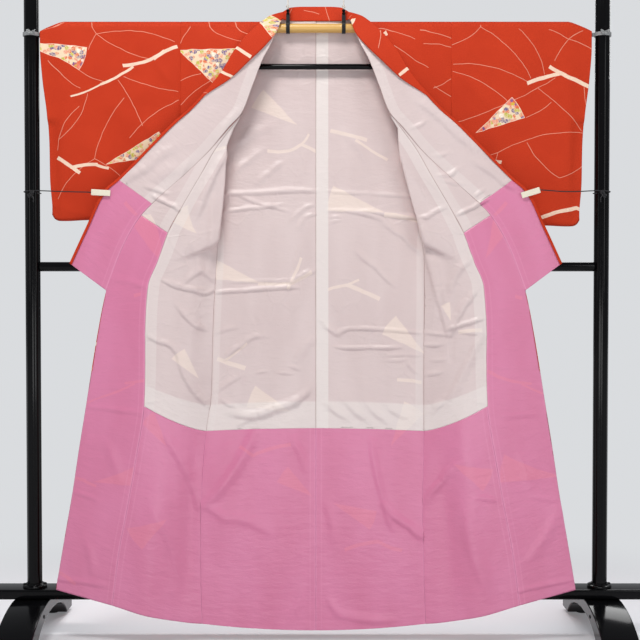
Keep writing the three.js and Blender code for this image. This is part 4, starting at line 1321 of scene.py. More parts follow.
def bamboo_material():
    shader = Shader("bamboo", Roughness=0.38, Specular_IOR_Level=0.5, Coat_Weight=0.3, Coat_Roughness=0.2)
    place = shader.object_place()
    fibres = shader.noise(shader.scaled(place, 6, 400, 400), 1.0, 3.0)
    patches = shader.noise(shader.scaled(place, 8, 30, 30), 1.0, 2.0)
    base = shader.mix(fibres, (216, 164, 76), (190, 134, 52))
    base = shader.mix(shader.math("MULTIPLY", patches, 0.5), base, (236, 206, 130))
    shader.set(shader.surface.inputs["Base Color"], base)
    shader.bump(fibres, 0.25, 0.0004)
    return shader.material


def cord_material(name, rgb, other):
    shader = Shader(name, Roughness=0.8, Specular_IOR_Level=0.3, Sheen_Weight=0.2)
    place = shader.object_place()
    strands = shader.node("TexWave", bands_direction="DIAGONAL")
    shader.set(strands.inputs["Vector"], place)
    strands.inputs["Scale"].default_value = 260
    strands.inputs["Distortion"].default_value = 1.0
    shader.set(shader.surface.inputs["Base Color"], shader.mix(strands.outputs["Fac"], rgb, other))
    shader.bump(strands.outputs["Fac"], 0.6, 0.0004)
    return shader.material


LACQUER = lacquer_material()
BAMBOO = bamboo_material()
BLACK_CORD = cord_material("black_cord", (16, 16, 18), (38, 38, 42))
WHITE_CORD = cord_material("white_cord", (226, 222, 214), (196, 190, 180))
CLIP_PLASTIC = plain("clip_plastic", (232, 226, 206), (222, 214, 192), 90, 0.38)
TAPE = plain("tape", (150, 152, 152), (120, 122, 124), 300, 0.55, bump=0.4)
RUBBER = plain("pad_rubber", (22, 22, 23), (34, 34, 35), 200, 0.85, bump=0.4)


# The garment's pieces
BODY_STEP, SLEEVE_STEP, ARMHOLE_DIP = 11, 6, 0.5
SIDES = ((-1, "left"), (1, "right"))


def towards_back(points):
    return np.array([0.0, 1.0, 0.0])


def seam_dip(flat, depth=0.8, reach=2.4):
    """How far a lining sinks beside the seams at both of its long edges, less where it is narrow."""
    wide = smooth((flat[:, 2] + flat[:, 3]) / 60)
    return wide * depth * (np.exp(-flat[:, 2] / reach) + np.exp(-flat[:, 3] / reach))


def soft_relief(seed, amount, *tables):
    """Creases towards the viewer, soft unevenness and sunk seams. Normals point away from the viewer."""

    def relief(points, flat):
        x, z = points[:, 0], points[:, 2]
        height = amount * wave_noise(x, z * 0.6, 120, seed) + 0.35 * amount * wave_noise(x, z, 45, seed + 1)
        for creases in tables:
            height = height + CREASE_HEIGHT * ridges(creases, x, z)
        return np.minimum(seam_dip(flat) - height, LINING_SINK)

    return relief


def front_places(step):
    """Places across a front, closer together at both seams and round the turned edge."""
    low = samples([0, TURN_K], TURN_K * step / 135)
    turn = samples([TURN_K, NECK_K], 0.16)
    high = samples([NECK_K, SIDE_K], (SIDE_K - NECK_K) * step / 180)
    ends = [0.02, 0.06, 0.12, SIDE_K - 0.12, SIDE_K - 0.06, SIDE_K - 0.02]
    return np.unique(np.round(np.concatenate([low, turn, high, ends]), 5))


def body_cloth(side, step):
    """The whole length of one half of the body: back, shoulder and front."""
    k = front_places(step)
    high = k >= NECK_K - 1e-6
    down = samples(list(DOWN), step)
    cloth = Cloth()
    back = back_points(side, down[::-1], k)
    cloth.patch(back, panel_flat(back, -down[::-1]))
    angle = samples([0, 180], 15)
    over = shoulder_points(side, angle, k[high])
    cloth.patch(over, body_flat(over, (angle - 90) / 180 * 8))
    upper = down[down <= DOWN[LAST_NECK] + 1e-6]
    neck = front_points(side, upper, k[high])
    neck[0] = over[-1]
    cloth.patch(neck, body_flat(neck, upper))
    lower = down[down >= DOWN[LAST_NECK] - 1e-6]
    front = front_points(side, lower, k)
    cloth.patch(front, body_flat(front, lower))
    return cloth


def body_flat(points, along):
    """Flat places on a front or shoulder: across as if the side seam lay straight below the armhole."""
    flat = panel_flat(points, along)
    flat[..., 0] += SHOULDER_OUT - flat[:, -1:, 0]
    return flat


def panel_flat(points, down):
    """Flat places on a panel: across from its first column, along from its first row."""
    span = np.linalg.norm(np.diff(points, axis=1), axis=2)
    across = np.concatenate([np.zeros((len(points), 1)), np.cumsum(span, axis=1)], axis=1)
    return np.stack([across, np.broadcast_to(np.asarray(down)[:, None], across.shape)], axis=-1)


def back_k(step):
    """Places across the back, evenly spaced in millimetres with a few more at both seams."""
    out = edged(samples([0, NECK_OUT, SHOULDER_OUT], step))
    inner = out / NECK_OUT * NECK_K
    outer = NECK_K + (out - NECK_OUT) / (SHOULDER_OUT - NECK_OUT) * (SIDE_K - NECK_K)
    return np.where(out <= NECK_OUT, inner, outer)


LINING_STEPS = {"white": (5.2, 2.6), "pink": (6, 4)}  # across and along the cloth
CREASE_HEIGHT = 2.5
BACK_BANDS = {
    "left": [("down", 896, 970, 0.6, 3), ("far", 3, 18, 0.3, 1.5)],
    "right": [("down", 896, 970, 0.6, 3), ("near", -9, 30, 0.8, 1), ("far", 3, 20, 0.3, 1.5)],
}
FRONT_BANDS = [("down", 896, 970, 0.6, 3), ("near", -9, 27, 0.4, 1), ("near", 2, 5, 0.3, 1)]
PINK_BANDS = [("near", -9, 3, 0.6, 1), ("near", 12, 15, 0.25, 1), ("far", -9, 2, 0.4, 1)]


def body_relief(seed):
    """Creases on the shoulders, and soft unevenness that fades out where other pieces lie close."""

    def relief(points, flat):
        x, y, z = points.T
        front = np.where(y < 0, 1.0, 0.0) * smooth((z - 1240) / 60) * smooth((SHOULDER_Z - z) / 12)
        back = np.where(y > -40, 1.0, 0.0) * smooth((1240 - z) / 60)
        height = 0.4 * wave_noise(x, z * 0.6, 120, seed) * smooth((SHOULDER_Z - 30 - z) / 60)
        return height * (front + back) + front * ridges(SHOULDER_CREASES, x, z)

    return relief


def make_lining(piece, cloth, ground, kind, relief, bands, shift=(0, 0)):
    """A lining from its sheet of points, in the place of the solid of the same name."""
    made = cloth.wall(f"{piece}_cloth", LINING, towards_back, relief)
    finish_piece(made, lining_cloth(piece, ground, kind, shift, bands), [piece])


def make_body(side, name, seed):
    made = body_cloth(side, BODY_STEP).wall(f"body_{name}_cloth", OUTER, away_from_middle, body_relief(seed))
    finish_piece(made, red_cloth(f"red_body_{name}", name), [f"body_{name}"])


def make_back_linings(side, name, seed):
    for label, first, last, ground, creases, bands in (
        ("back_lining", 0, PINK_LEVEL, "white", BACK_CREASES, mirrored(BACK_BANDS[name])),
        ("back_hem_lining", PINK_LEVEL, HEM, "pink", PINK_BACK_CREASES, PINK_BANDS),
    ):
        step, fine = LINING_STEPS[ground]
        down = edged(samples(list(DOWN[first : last + 1]), fine))
        points = back_points(side, down, back_k(step))
        cloth = Cloth().patch(points, panel_flat(points, -down))
        make_lining(f"{label}_{name}", cloth, ground, name, soft_relief(seed, 0.5, creases), bands)


def make_front_linings(side, name, seed):
    for label, first, last, ground, creases, bands in (
        ("front_lining", LAST_NECK, PINK_LEVEL, "white", FRONT_CREASES, FRONT_BANDS),
        ("front_hem_lining", PINK_LEVEL, HEM, "pink", PINK_FRONT_CREASES, PINK_BANDS),
    ):
        step, fine = LINING_STEPS[ground]
        k = front_places(step)
        cloth = Cloth()
        if first < LAST_TURNED:
            down = samples(list(DOWN[first : LAST_TURNED + 1]), fine)
            points = front_points(side, down, k)
            shown = k <= NECK_K + 1e-6
            cloth.patch(points[:, shown], body_flat(points, down)[:, shown])
        down = samples(list(DOWN[max(first, LAST_TURNED) : last + 1]), fine)
        points = front_points(side, down, k)
        cloth.patch(points, body_flat(points, down))
        make_lining(f"{label}_{name}", cloth, ground, name, soft_relief(seed, 0.6, creases), bands)


def mirrored(bands):
    """Bands of the back, where places down the cloth are negative."""
    turned = []
    for measure, low, high, *rest in bands:
        turned.append((measure, -high, -low, *rest) if measure == "down" else (measure, low, high, *rest))
    return turned


def away_from_middle(points):
    """Outwards on the body's back."""
    return np.array([[0.0, 1.0, 0.0]]) * (points[:, 1:2] > -20) * (points[:, 2:3] > SHOULDER_Z - 200)


OVERLAP_BANDS = [("near", -9, 24, 0.3, 1)]
EDGE_SHOWN = 1.3  # how far the red cloth shows beyond the lining at the overlap's free edge
OVERLAP_SHIFTS = {"left": (90, 173), "right": (30, 173)}


def make_overlap(side, name, seed):
    """An overlap panel with its white and pink linings, which stop just short of its free edge."""
    shift = OVERLAP_SHIFTS[name]
    across = edged(samples([0, 120], 12)) / 120
    down = samples(list(DOWN[LAST_NECK:]), BODY_STEP)
    points = overlap_points(side, down, across)
    cloth = Cloth().patch(points, panel_flat(points, down))
    made = cloth.wall(f"overlap_{name}_cloth", OUTER, towards_back)
    finish_piece(made, red_cloth(f"red_overlap_{name}", "sleeve", shift), [f"overlap_{name}"])
    for label, first, last, ground, bands in (
        ("overlap_lining", LAST_NECK, LAST_TURNED, "white", OVERLAP_BANDS),
        ("overlap_hem_lining", LAST_TURNED, HEM, "pink", PINK_BANDS),
    ):
        step, fine = LINING_STEPS[ground]
        down = samples(list(DOWN[first : last + 1]), fine)
        points = overlap_points(side, down, edged(samples([0, 120], step)) / 120)
        edge = points[:, -1:] - points[:, :1]
        edge /= np.linalg.norm(edge, axis=2, keepdims=True)
        points[:, -1:] -= edge * EDGE_SHOWN * (down[:, None, None] > DOWN[COLLAR_END_LEVEL])
        cloth = Cloth().patch(points, panel_flat(points, down))
        relief = soft_relief(seed + 1, 0.45, OVERLAP_CREASES, COLLAR_CREASES)
        make_lining(f"{label}_{name}", cloth, ground, "sleeve", relief, bands, shift)


def make_collar(seed):
    """The collar from end to end, with a white and a pink lining on each side."""
    length = collar_frame(np.array([0.0, 1.0]))[0]
    half = samples(list(length), 8)
    along = np.concatenate([-half[:0:-1], half])
    points, widths = collar_points(along)
    flat = np.stack([widths, np.broadcast_to(along[:, None], widths.shape)], axis=-1)
    cloth = Cloth().patch(points, flat)

    made = cloth.wall("collar_cloth", OUTER, towards_back)
    finish_piece(made, red_cloth("red_collar", "collar"), ["collar"])

    for side, name in SIDES:
        for label, first, last, ground, bands in (
            ("collar_lining", 0, PINK_STATION, "white", OVERLAP_BANDS),
            ("collar_end_lining", PINK_STATION, len(length) - 1, "pink", PINK_BANDS),
        ):
            half = edged(samples(list(length[first : last + 1]), LINING_STEPS[ground][1]), start=first > 0)
            along = half * side
            if first == 0:
                along = along + 1e-6 * side
            points, widths = collar_points(along, flat_steps=22, round_steps=2, lap_steps=1)
            keep = widths.shape[1] - 3
            flat = np.stack([widths, np.broadcast_to(half[:, None], widths.shape)], axis=-1)
            cloth = Cloth().patch(points[:, :keep], flat[:, :keep])
            relief = soft_relief(seed + side, 0.5, OVERLAP_CREASES, COLLAR_CREASES)
            make_lining(f"{label}_{name}", cloth, ground, "collar", relief, bands)


def make_sleeve(side, name, seed):
    """One length of cloth, from the bottom of the front up, over the top fold and down the rear."""
    out = edged(samples(list(SLEEVE["out"]), SLEEVE_STEP))
    bottom = 1 - 0.07 * np.cos(np.linspace(0, math.pi / 2, 10))
    share = np.concatenate([samples([0, 0.93], 0.0135)[:-1], bottom])
    half, closed, drop, top = sleeve_points(side, out, share[None, :])
    front, back = half.copy(), half.copy()
    front[..., 1] *= -1
    angle = np.radians(samples([0, 180], 15))[None, :]
    radius = half[:, :1, 1]
    rise = SHOULDER_TURN * np.sin(angle) * (1 - closed * 0.5)
    over = stack(half[:, :1, 0] + 0 * angle, -radius * np.cos(angle), top + rise - drop * np.sin(angle))
    loop = np.concatenate([front[:, ::-1], over[:, 1:-1], back], axis=1)
    down = SHOULDER_Z - half[..., 2] + 10
    over_down = np.broadcast_to(10 * np.cos(angle), (len(out), angle.shape[1]))
    along = np.concatenate([down[:, ::-1], over_down[:, 1:-1], -down], axis=1)
    across = np.broadcast_to((out - SHOULDER_OUT)[:, None], along.shape)
    cloth = Cloth().patch(loop, np.stack([across, along], axis=-1))

    def outward(points):
        return np.stack([np.zeros(len(points)), np.sign(points[:, 1]), np.zeros(len(points))], axis=-1)

    def relief(points, flat):
        x, y, z = points.T
        free = smooth((SHOULDER_Z - 8 - z) / 60) * smooth(flat[:, 0] / 10) * smooth((300 - flat[:, 0]) / 30)
        open_cloth = smooth((np.abs(y) - 2) / 5)
        waves = 1.6 * wave_noise(x, z * 0.8, 150, seed) + 0.6 * wave_noise(x, z, 60, seed + 3)
        armhole = -ARMHOLE_DIP * np.exp(-flat[:, 0] / 2)
        return (waves + ridges(SLEEVE_CREASES, x, z)) * free * open_cloth + armhole

    made = cloth.wall(f"sleeve_{name}_cloth", OUTER, outward, relief, inset=0)
    shift = (0, 0) if side < 0 else (0, 480)
    finish_piece(made, red_cloth(f"red_sleeve_{name}", "sleeve", shift), [f"sleeve_{name}"])


for side, name in SIDES:
    make_body(side, name, 10 + side)
    make_back_linings(side, name, 12 + side)
    make_front_linings(side, name, 14 + side)
    make_overlap(side, name, 30 + side)
    make_sleeve(side, name, 50 + side)
make_collar(70)


# Turned, bent and sawn pieces of the stand and the hanger
def side_faces(count, sides, closed=False):
    """Faces between rings of points, and from the last ring to the first where closed."""
    faces = []
    for r in range(count if closed else count - 1):
        s = (r + 1) % count
        for i in range(sides):
            j = (i + 1) % sides
            faces.append((r * sides + i, r * sides + j, s * sides + j, s * sides + i))
    return faces


def end_faces(count, sides):
    return [tuple(range(sides))[::-1], tuple(range((count - 1) * sides, count * sides))]


def turned_piece(name, profile, place=(0, 0, 0), along="z", sides=48, swell=None):
    """A closed turned piece from pairs of radius and height. Swell changes the radius with the angle."""
    angle = np.linspace(0, 2 * math.pi, sides, endpoint=False)
    scale = np.ones(sides) if swell is None else swell(angle)
    rings = []
    for radius, height in profile:
        ring = [radius * scale * np.cos(angle), radius * scale * np.sin(angle), np.full(sides, float(height))]
        rings.append(np.stack(ring, axis=-1))
    points = np.concatenate(rings)
    if along == "x":
        points = points[:, [2, 0, 1]]
    count = len(profile)
    faces = end_faces(count, sides) + side_faces(count, sides)
    return sharpened(mesh_piece(name, points + place, faces))


def ring_piece(name, profile, place, sides=48):
    """A turned piece with a hole, from a closed outline of pairs of radius and height."""
    angle = np.linspace(0, 2 * math.pi, sides, endpoint=False)
    points = [stack(r * np.cos(angle), r * np.sin(angle), np.full(sides, float(h))) for r, h in profile]
    faces = side_faces(len(profile), sides, closed=True)
    return sharpened(mesh_piece(name, np.concatenate(points) + place, faces))


def sharpened(made, angle=38):
    """Smooth shading that keeps the edges steeper than an angle sharp."""
    made.data.set_sharp_from_angle(angle=math.radians(angle))
    return made


def sawn_piece(name, outlines, depth, place, plane, bevel=1.0):
    """A plate with soft edges from outlines, the first its outside and the others holes, set in a plane."""
    curve = bpy.data.curves.new(name, "CURVE")
    curve.dimensions, curve.fill_mode = "2D", "BOTH"
    curve.extrude, curve.bevel_depth, curve.bevel_resolution = depth / 2 - bevel, bevel, 3
    curve.offset = -bevel
    for outline in outlines:
        spline = curve.splines.new("POLY")
        spline.points.add(len(outline) - 1)
        for knot, (x, y) in zip(spline.points, outline):
            knot.co = (x, y, 0, 1)
        spline.use_cyclic_u = True
    shaped = bpy.data.objects.new(name, curve)
    mesh = bpy.data.meshes.new_from_object(shaped)
    bpy.data.objects.remove(shaped)
    points = np.array([v.co for v in mesh.vertices])
    faces = [tuple(f.vertices) for f in mesh.polygons]
    axes = {"xy": (0, 1, 2), "yz": (2, 0, 1)}[plane]
    points = points[:, axes]
    bpy.data.meshes.remove(mesh)
    return sharpened(mesh_piece(name, points + place, faces))


def arc(x, y, radius, start, end, steps):
    angle = np.radians(np.linspace(start, end, steps))
    return [(x + radius * math.cos(a), y + radius * math.sin(a)) for a in angle]


def bent(start, middle, end, steps):
    """A quadratic curve after its first point."""
    t = np.linspace(0, 1, steps + 1)[1:, None]
    curve = (1 - t) ** 2 * np.array(start) + 2 * t * (1 - t) * np.array(middle) + t**2 * np.array(end)
    return [tuple(p) for p in curve]


def through(knots, step):
    """A smooth path through some points, about a step apart."""
    knots = np.array(knots, float)
    length = np.concatenate([[0], np.cumsum(np.linalg.norm(np.diff(knots, axis=0), axis=1))])
    at = samples([0, length[-1]], step)
    return np.stack([pchip(length, knots[:, i], at) for i in range(3)], axis=-1)


def cord_piece(name, path, radius, sides=12, closed=False):
    """A round cord along a path."""
    if closed:
        forward = np.roll(path, -1, axis=0) - np.roll(path, 1, axis=0)
    else:
        forward = np.gradient(path, axis=0)
    forward /= np.linalg.norm(forward, axis=1, keepdims=True)
    side = np.cross(forward[0], [0.3, 0.1, 1.0])
    angle = np.linspace(0, 2 * math.pi, sides, endpoint=False)[:, None]
    rings = []
    for place, ahead in zip(path, forward):
        side = side - ahead * np.dot(side, ahead)
        side /= np.linalg.norm(side)
        other = np.cross(ahead, side)
        rings.append(place + radius * (np.cos(angle) * side + np.sin(angle) * other))
    faces = side_faces(len(path), sides, closed)
    if not closed:
        faces += end_faces(len(path), sides)
    return mesh_piece(name, np.concatenate(rings), faces)


def knot_piece(name, place, size, radius):
    """An overhand knot drawn tight."""
    t = np.linspace(0, 2 * math.pi, 60, endpoint=False)
    x = np.sin(t) + 2 * np.sin(2 * t)
    z = np.cos(t) - 2 * np.cos(2 * t)
    y = -np.sin(3 * t) * 1.3
    path = np.stack([x, y, z], axis=-1) * size / 3 + place
    return cord_piece(name, path, radius, 10, closed=True)


def box_piece(name, size, place, radius):
    """A block with rounded long edges and soft ends, lying along x."""
    x, y, z = (v / 2 for v in size)
    r = radius
    corners = [(y - r, z - r, 0), (r - y, z - r, 90), (r - y, r - z, 180), (y - r, r - z, 270)]
    outline = [p for cy, cz, start in corners for p in arc(cy, cz, r, start, start + 90, 6)]
    return sawn_piece(name, [outline], 2 * x, place, "yz", min(radius, 1.5))


POLE = {"radius": 11.25, "z": 1466, "half": 604, "nodes": (-505, -228, 64, 341, 566)}
LOWER_BAR = {"radius": 6.75, "z": 1374, "half": 212}
LINK = {"out": 200, "width": 8, "rim": 1.4, "small_rim": 2.5, "stem": 4}
STRAP = {"out": 67, "width": 9, "thickness": 1.4}
CONNECTOR = {"radius": 4.2, "height": 12, "z": 1505}
UPRIGHT = {"out": 687, "radius": 18, "top": 1640, "flutes": 9, "flute": 0.035}
TOP_BAR = {"radius": 12, "z": 1600}
MIDDLE_BAR = {"radius": 11.5, "z": 893}
BOTTOM_BAR = {"half": 800, "depth": 72, "low": 91, "high": 115}
SOCKET = {"radius": 29, "rim": 6, "wall": 3, "height": 10, "screw": 3.6, "screw_out": 24.6}
FOOT = {"width": 86, "half": 225, "top": 90.7, "low": 8, "tip": 34, "flat": 50, "reach": 70, "drop": 8}
ARCH = {"half": 165, "top": 62, "ease": 45}
FOOT_BOLT = {"y": 92, "z": 66}
PAD = {"radius": 15, "height": 7.7, "y": 196}
CLIP = {"out": 509, "z": 1067, "y": -53.4, "length": 46, "height": 14, "jaw": 2.4, "slot": 9, "solid": 20}
CLIP_TILTS = {"left": 0.06, "right": 0.3}  # radians, outer end up
CORD_RADIUS, HANGING_RADIUS = 1.25, 1.5
CORD_BEND = (600, -39)
WRAP = {"from": -105, "to": 225, "rise": 8, "pitch": 0.018}
TIE = {"thickness": 2.4, "height": 9, "z": 1446}
GAP = 0.3
CAD_WALL = 1.35  # from a sleeve's middle surface to its solid's outside


def rounded_rod(radius, half, edge=1.2):
    """The profile of a rod with soft ends, from minus half to half."""
    turn = np.radians([0, 30, 60, 90])
    low = [(radius - edge + edge * math.sin(a), -half + edge - edge * math.cos(a)) for a in turn]
    return low + [(r, -h) for r, h in reversed(low)]


def make_pole():
    """Bamboo, a little thicker at each of its joints, with a scored ring beside it."""
    profile = rounded_rod(POLE["radius"] - 0.25, POLE["half"], 2)
    beside = (-14, -6, -3, -1.6, -0.8, 0, 0.8, 1.6, 3, 6, 14)
    marks = sorted({round(n + d, 2) for n in POLE["nodes"] for d in beside})
    body = []
    for x in marks:
        if abs(x) > POLE["half"] - 4:
            continue
        near = min(POLE["nodes"], key=lambda n: abs(n - x))
        swell = 0.6 * math.exp(-(((x - near) / 5) ** 2)) - 0.5 * math.exp(-(((x - near) / 1.0) ** 2))
        body.append((POLE["radius"] - 0.25 + swell, x))
    profile = profile[:4] + body + profile[4:]
    made = turned_piece("bamboo_pole", profile, (MIDDLE_X, 0, POLE["z"]), "x", 40)
    finish_piece(made, BAMBOO, ["pole"])


def make_link(side, name):
    drop = LOWER_BAR["z"] - POLE["z"]
    big, small = POLE["radius"] + GAP, LOWER_BAR["radius"] + GAP
    big_eye, small_eye = big + LINK["rim"], small + LINK["small_rim"]
    big_turn = math.degrees(math.asin(LINK["stem"] / big_eye))
    small_turn = math.degrees(math.asin(LINK["stem"] / small_eye))
    outside = arc(0, 0, big_eye, big_turn - 90, 270 - big_turn, 40)
    outside += arc(0, drop, small_eye, 90 + small_turn, 450 - small_turn, 32)
    outlines = [outside, arc(0, 0, big, 0, 351, 40), arc(0, drop, small, 0, 349, 32)]
    place = (MIDDLE_X + side * LINK["out"], 0, POLE["z"])
    made = sawn_piece(f"hanger_link_{name}", outlines, LINK["width"], place, "yz", 0.5)
    finish_piece(made, LACQUER, [f"link_{name}"])


def make_strap(side, name):
    """A strap round the pole, its swivel and the cord that it hangs by."""
    x = MIDDLE_X + side * STRAP["out"]
    inner = POLE["radius"] + GAP
    outer = inner + STRAP["thickness"]
    half = CONNECTOR["height"] / 2
    top = CONNECTOR["z"] - half - GAP - POLE["z"]
    neck = STRAP["thickness"] + 0.3
    turn = math.degrees(math.asin(neck / outer))
    outside = [(-neck, top)] + arc(0, 0, outer, 90 + turn, 450 - turn, 48) + [(neck, top)]
    outlines = [outside, arc(0, 0, inner, 0, 352, 48)]
    made = sawn_piece(f"hanger_strap_{name}", outlines, STRAP["width"], (x, 0, POLE["z"]), "yz", 0.4)
    finish_piece(made, BLACK_CORD, [f"strap_{name}"])

    r = CONNECTOR["radius"]
    profile = [(r - 1, -half), (r, 1 - half), (r, -2.2), (r - 1.2, -1.4)]
    profile += [(r - 1.2, 0.6), (r, 1.4), (r, half - 1), (r - 1.2, half)]
    made = turned_piece(f"swivel_{name}", profile, (x, 0, CONNECTOR["z"]), sides=28)
    finish_piece(made, LACQUER, [f"connector_{name}"])

    low = CONNECTOR["z"] + half + GAP
    across = TOP_BAR["radius"] + HANGING_RADIUS + 3 * GAP
    apart = 1.5 * HANGING_RADIUS
    knots = [(x, -apart, low), (x, -apart, low + 22)]
    for angle in np.radians([205, 180, 150, 120, 90, 60, 30, 0, -25]):
        knots.append((x, across * math.cos(angle), TOP_BAR["z"] + across * math.sin(angle)))
    knots += [(x, apart, low + 22), (x, apart, low)]
    made = cord_piece(f"hanging_loop_{name}", through(knots, 3), HANGING_RADIUS)
    finish_piece(made, WHITE_CORD, [f"hanging_cord_{name}"])
    made = knot_piece(f"hanging_knot_{name}", (x, 0, low + 6), 3.6, 1.4)
    finish_piece(made, WHITE_CORD, [])


def make_hanger():
    make_pole()
    profile = rounded_rod(LOWER_BAR["radius"], LOWER_BAR["half"], 1.5)
    made = turned_piece("lower_rail", profile, (MIDDLE_X, 0, LOWER_BAR["z"]), "x", 32)
    finish_piece(made, LACQUER, ["lower_bar"])
    for side, name in SIDES:
        make_link(side, name)
        make_strap(side, name)


def make_holder(side, name, tilt):
    """The clip on the turned-back collar, its cord to the upright, and the tie at the sleeve's top corner."""
    half = CLIP["slot"] / 2 + CLIP["jaw"]
    length, inner = CLIP["length"], CLIP["slot"] / 2
    deep = length - CLIP["solid"]
    outside = [(0, 1 - half), (6, -half), (length - 4, -half)]
    outside += bent((length - 4, -half), (length, -half), (length, 4 - half), 5)
    outside += [(length, half - 4)] + bent((length, half - 4), (length, half), (length - 4, half), 5)
    outside += [(6, half), (0, half - 1), (0, inner)] + [(deep - inner, inner)]
    outside += arc(deep - inner, 0, inner, 85, -85, 10) + [(deep - inner, -inner), (0, -inner)]
    outline = [(x - length / 2, y) for x, y in outside]
    made = sawn_piece(f"collar_clip_{name}", [outline], CLIP["height"], (0, 0, 0), "xy", 0.7)
    place = Vector((MIDDLE_X + side * CLIP["out"], CLIP["y"], CLIP["z"])) * MM
    if side < 0:
        made.data.transform(Matrix.Rotation(math.pi, 4, "Z"))
    made.data.transform(Matrix.Rotation(-side * tilt, 4, "Y"))
    made.data.transform(Matrix.Translation(place))
    finish_piece(made, CLIP_PLASTIC, [f"clip_{name}"])

    end = CLIP["length"] / 2 + 2 * GAP
    start = (CLIP["out"] + end * math.cos(tilt), CLIP["y"], CLIP["z"] + end * math.sin(tilt))
    around = UPRIGHT["radius"] + CORD_RADIUS + 3 * GAP
    knots = [(MIDDLE_X + side * start[0], start[1], start[2])]
    knots.append((MIDDLE_X + side * CORD_BEND[0], CORD_BEND[1], CLIP["z"] + WRAP["rise"] / 2))
    for angle in range(WRAP["from"], WRAP["to"] + 1, 15):
        x = UPRIGHT["out"] + around * math.cos(math.radians(angle))
        z = CLIP["z"] + WRAP["rise"] - (angle - WRAP["from"]) * WRAP["pitch"]
        knots.append((side * x, around * math.sin(math.radians(angle)), z))
    made = cord_piece(f"elastic_cord_{name}", through(knots, 3), CORD_RADIUS)
    finish_piece(made, BLACK_CORD, [f"clip_cord_{name}"])
    front = -around - 1
    for number, drop in enumerate((3, -4)):
        place = (side * (UPRIGHT["out"] - 4 + 6 * number), front, CLIP["z"] + drop)
        made = knot_piece(f"elastic_knot_{name}_{number}", place, 4.2, 1.6)
        finish_piece(made, BLACK_CORD, [])
    tail = []
    for inward, forward, drop in ((4, 2, 4), (8, 4, 12), (7, 2, 20)):
        tail.append((side * (UPRIGHT["out"] - inward), front - forward, CLIP["z"] - drop))
    made = cord_piece(f"elastic_tail_{name}", through(tail, 2), CORD_RADIUS)
    finish_piece(made, BLACK_CORD, [])

    inner = UPRIGHT["radius"] + GAP
    outer = inner + TIE["thickness"]
    cuff = SLEEVE["out"][-1] + SLEEVE_PROFILE["cuff"][0] + side * MIDDLE_X + CAD_WALL
    reach = UPRIGHT["out"] - cuff - GAP
    turn = math.degrees(math.asin(TIE["thickness"] / outer))
    begin = turn if side < 0 else 180 + turn
    outside = arc(0, 0, outer, begin, begin + 360 - 2 * turn, 60)
    outside += [(-side * reach, side * TIE["thickness"]), (-side * reach, -side * TIE["thickness"])]
    place = (side * UPRIGHT["out"], 0, TIE["z"] + TIE["height"] / 2)
    outlines = [outside, arc(0, 0, inner, 0, 354, 60)]
    made = sawn_piece(f"sleeve_tie_{name}", outlines, TIE["height"], place, "xy", 0.4)
    finish_piece(made, TAPE, [f"tie_{name}"])
    for number, lean in enumerate((0.5, -0.6)):
        place = (side * (UPRIGHT["out"] - 2), -outer - 1.5, TIE["z"] + 5)
        made = bow_piece(f"tie_bow_{name}_{number}", place, lean, number)
        finish_piece(made, TAPE, [])


def bow_piece(name, place, lean, number):
    """A flattened loop of the tie, twisted at its knot."""
    t = np.linspace(0, 1, 26)
    reach = 15 - 4 * number
    x = reach * np.sin(math.pi * t) * np.cos(0.5 + 0.6 * t) * (1 if number == 0 else -1)
    z = reach * 0.7 * np.sin(math.pi * t) * np.sin(1.8 * t - 0.4)
    y = -2.5 * np.sin(2 * math.pi * t) - 2
    middle = np.stack([x, y, z], axis=-1)
    wide = np.stack([np.sin(lean + t), 0.4 * np.cos(5 * t), np.cos(lean + t)], axis=-1) * 3.4
    sheet = np.stack([middle - wide, middle, middle + wide], axis=1) + place
    cloth = Cloth().patch(sheet, panel_flat(sheet, t * 40))
    return cloth.wall(name, (0, 0.6), towards_back)


def make_foot(side, name):
    half, top, low, tip, flat = FOOT["half"], FOOT["top"], FOOT["low"], FOOT["tip"], FOOT["flat"]
    reach, drop = FOOT["reach"], FOOT["drop"]
    outline = [(-half, low + 2), (2 - half, low), (-ARCH["half"], low)]
    outline += bent(outline[-1], (ARCH["ease"] - ARCH["half"], ARCH["top"]), (0, ARCH["top"]), 24)
    outline += bent((0, ARCH["top"]), (ARCH["half"] - ARCH["ease"], ARCH["top"]), (ARCH["half"], low), 24)
    outline += [(half - 2, low), (half, low + 2), (half, tip)]
    outline += bent((half, tip), (half - reach, top - drop), (flat, top), 24)
    outline += [(-flat, top)] + bent((-flat, top), (reach - half, top - drop), (-half, tip), 24)
    x = side * UPRIGHT["out"]
    made = sawn_piece(f"stand_foot_{name}", [outline], FOOT["width"], (x, 0, 0), "yz", 2.5)
    finish_piece(made, LACQUER, [f"foot_{name}"])
    ends = (-FOOT_BOLT["y"], FOOT_BOLT["y"])
    for number, (outward, y) in enumerate((outward, y) for outward in (1, -1) for y in ends):
        plug = [(4.6, -0.4), (4.6, 0.8), (3.8, 1.4), (2.2, 1.4), (2.0, 0.4)]
        made = turned_piece(f"foot_bolt_{name}_{number}", plug, (0, 0, 0), "x", 24)
        made.data.transform(Matrix.Scale(outward, 4, (1, 0, 0)))
        place = Vector((x + outward * FOOT["width"] / 2, y, FOOT_BOLT["z"])) * MM
        made.data.transform(Matrix.Translation(place))
        if outward < 0:
            made.data.flip_normals()
        finish_piece(made, RUBBER, [])
    for end, y in (("front", -PAD["y"]), ("rear", PAD["y"])):
        profile = [(PAD["radius"] - 1.5, 0), (PAD["radius"], 1.2), (PAD["radius"], PAD["height"])]
        made = turned_piece(f"rubber_pad_{name}_{end}", profile, (x, y, 0), sides=32)
        finish_piece(made, RUBBER, [f"pad_{name}_{end}"])


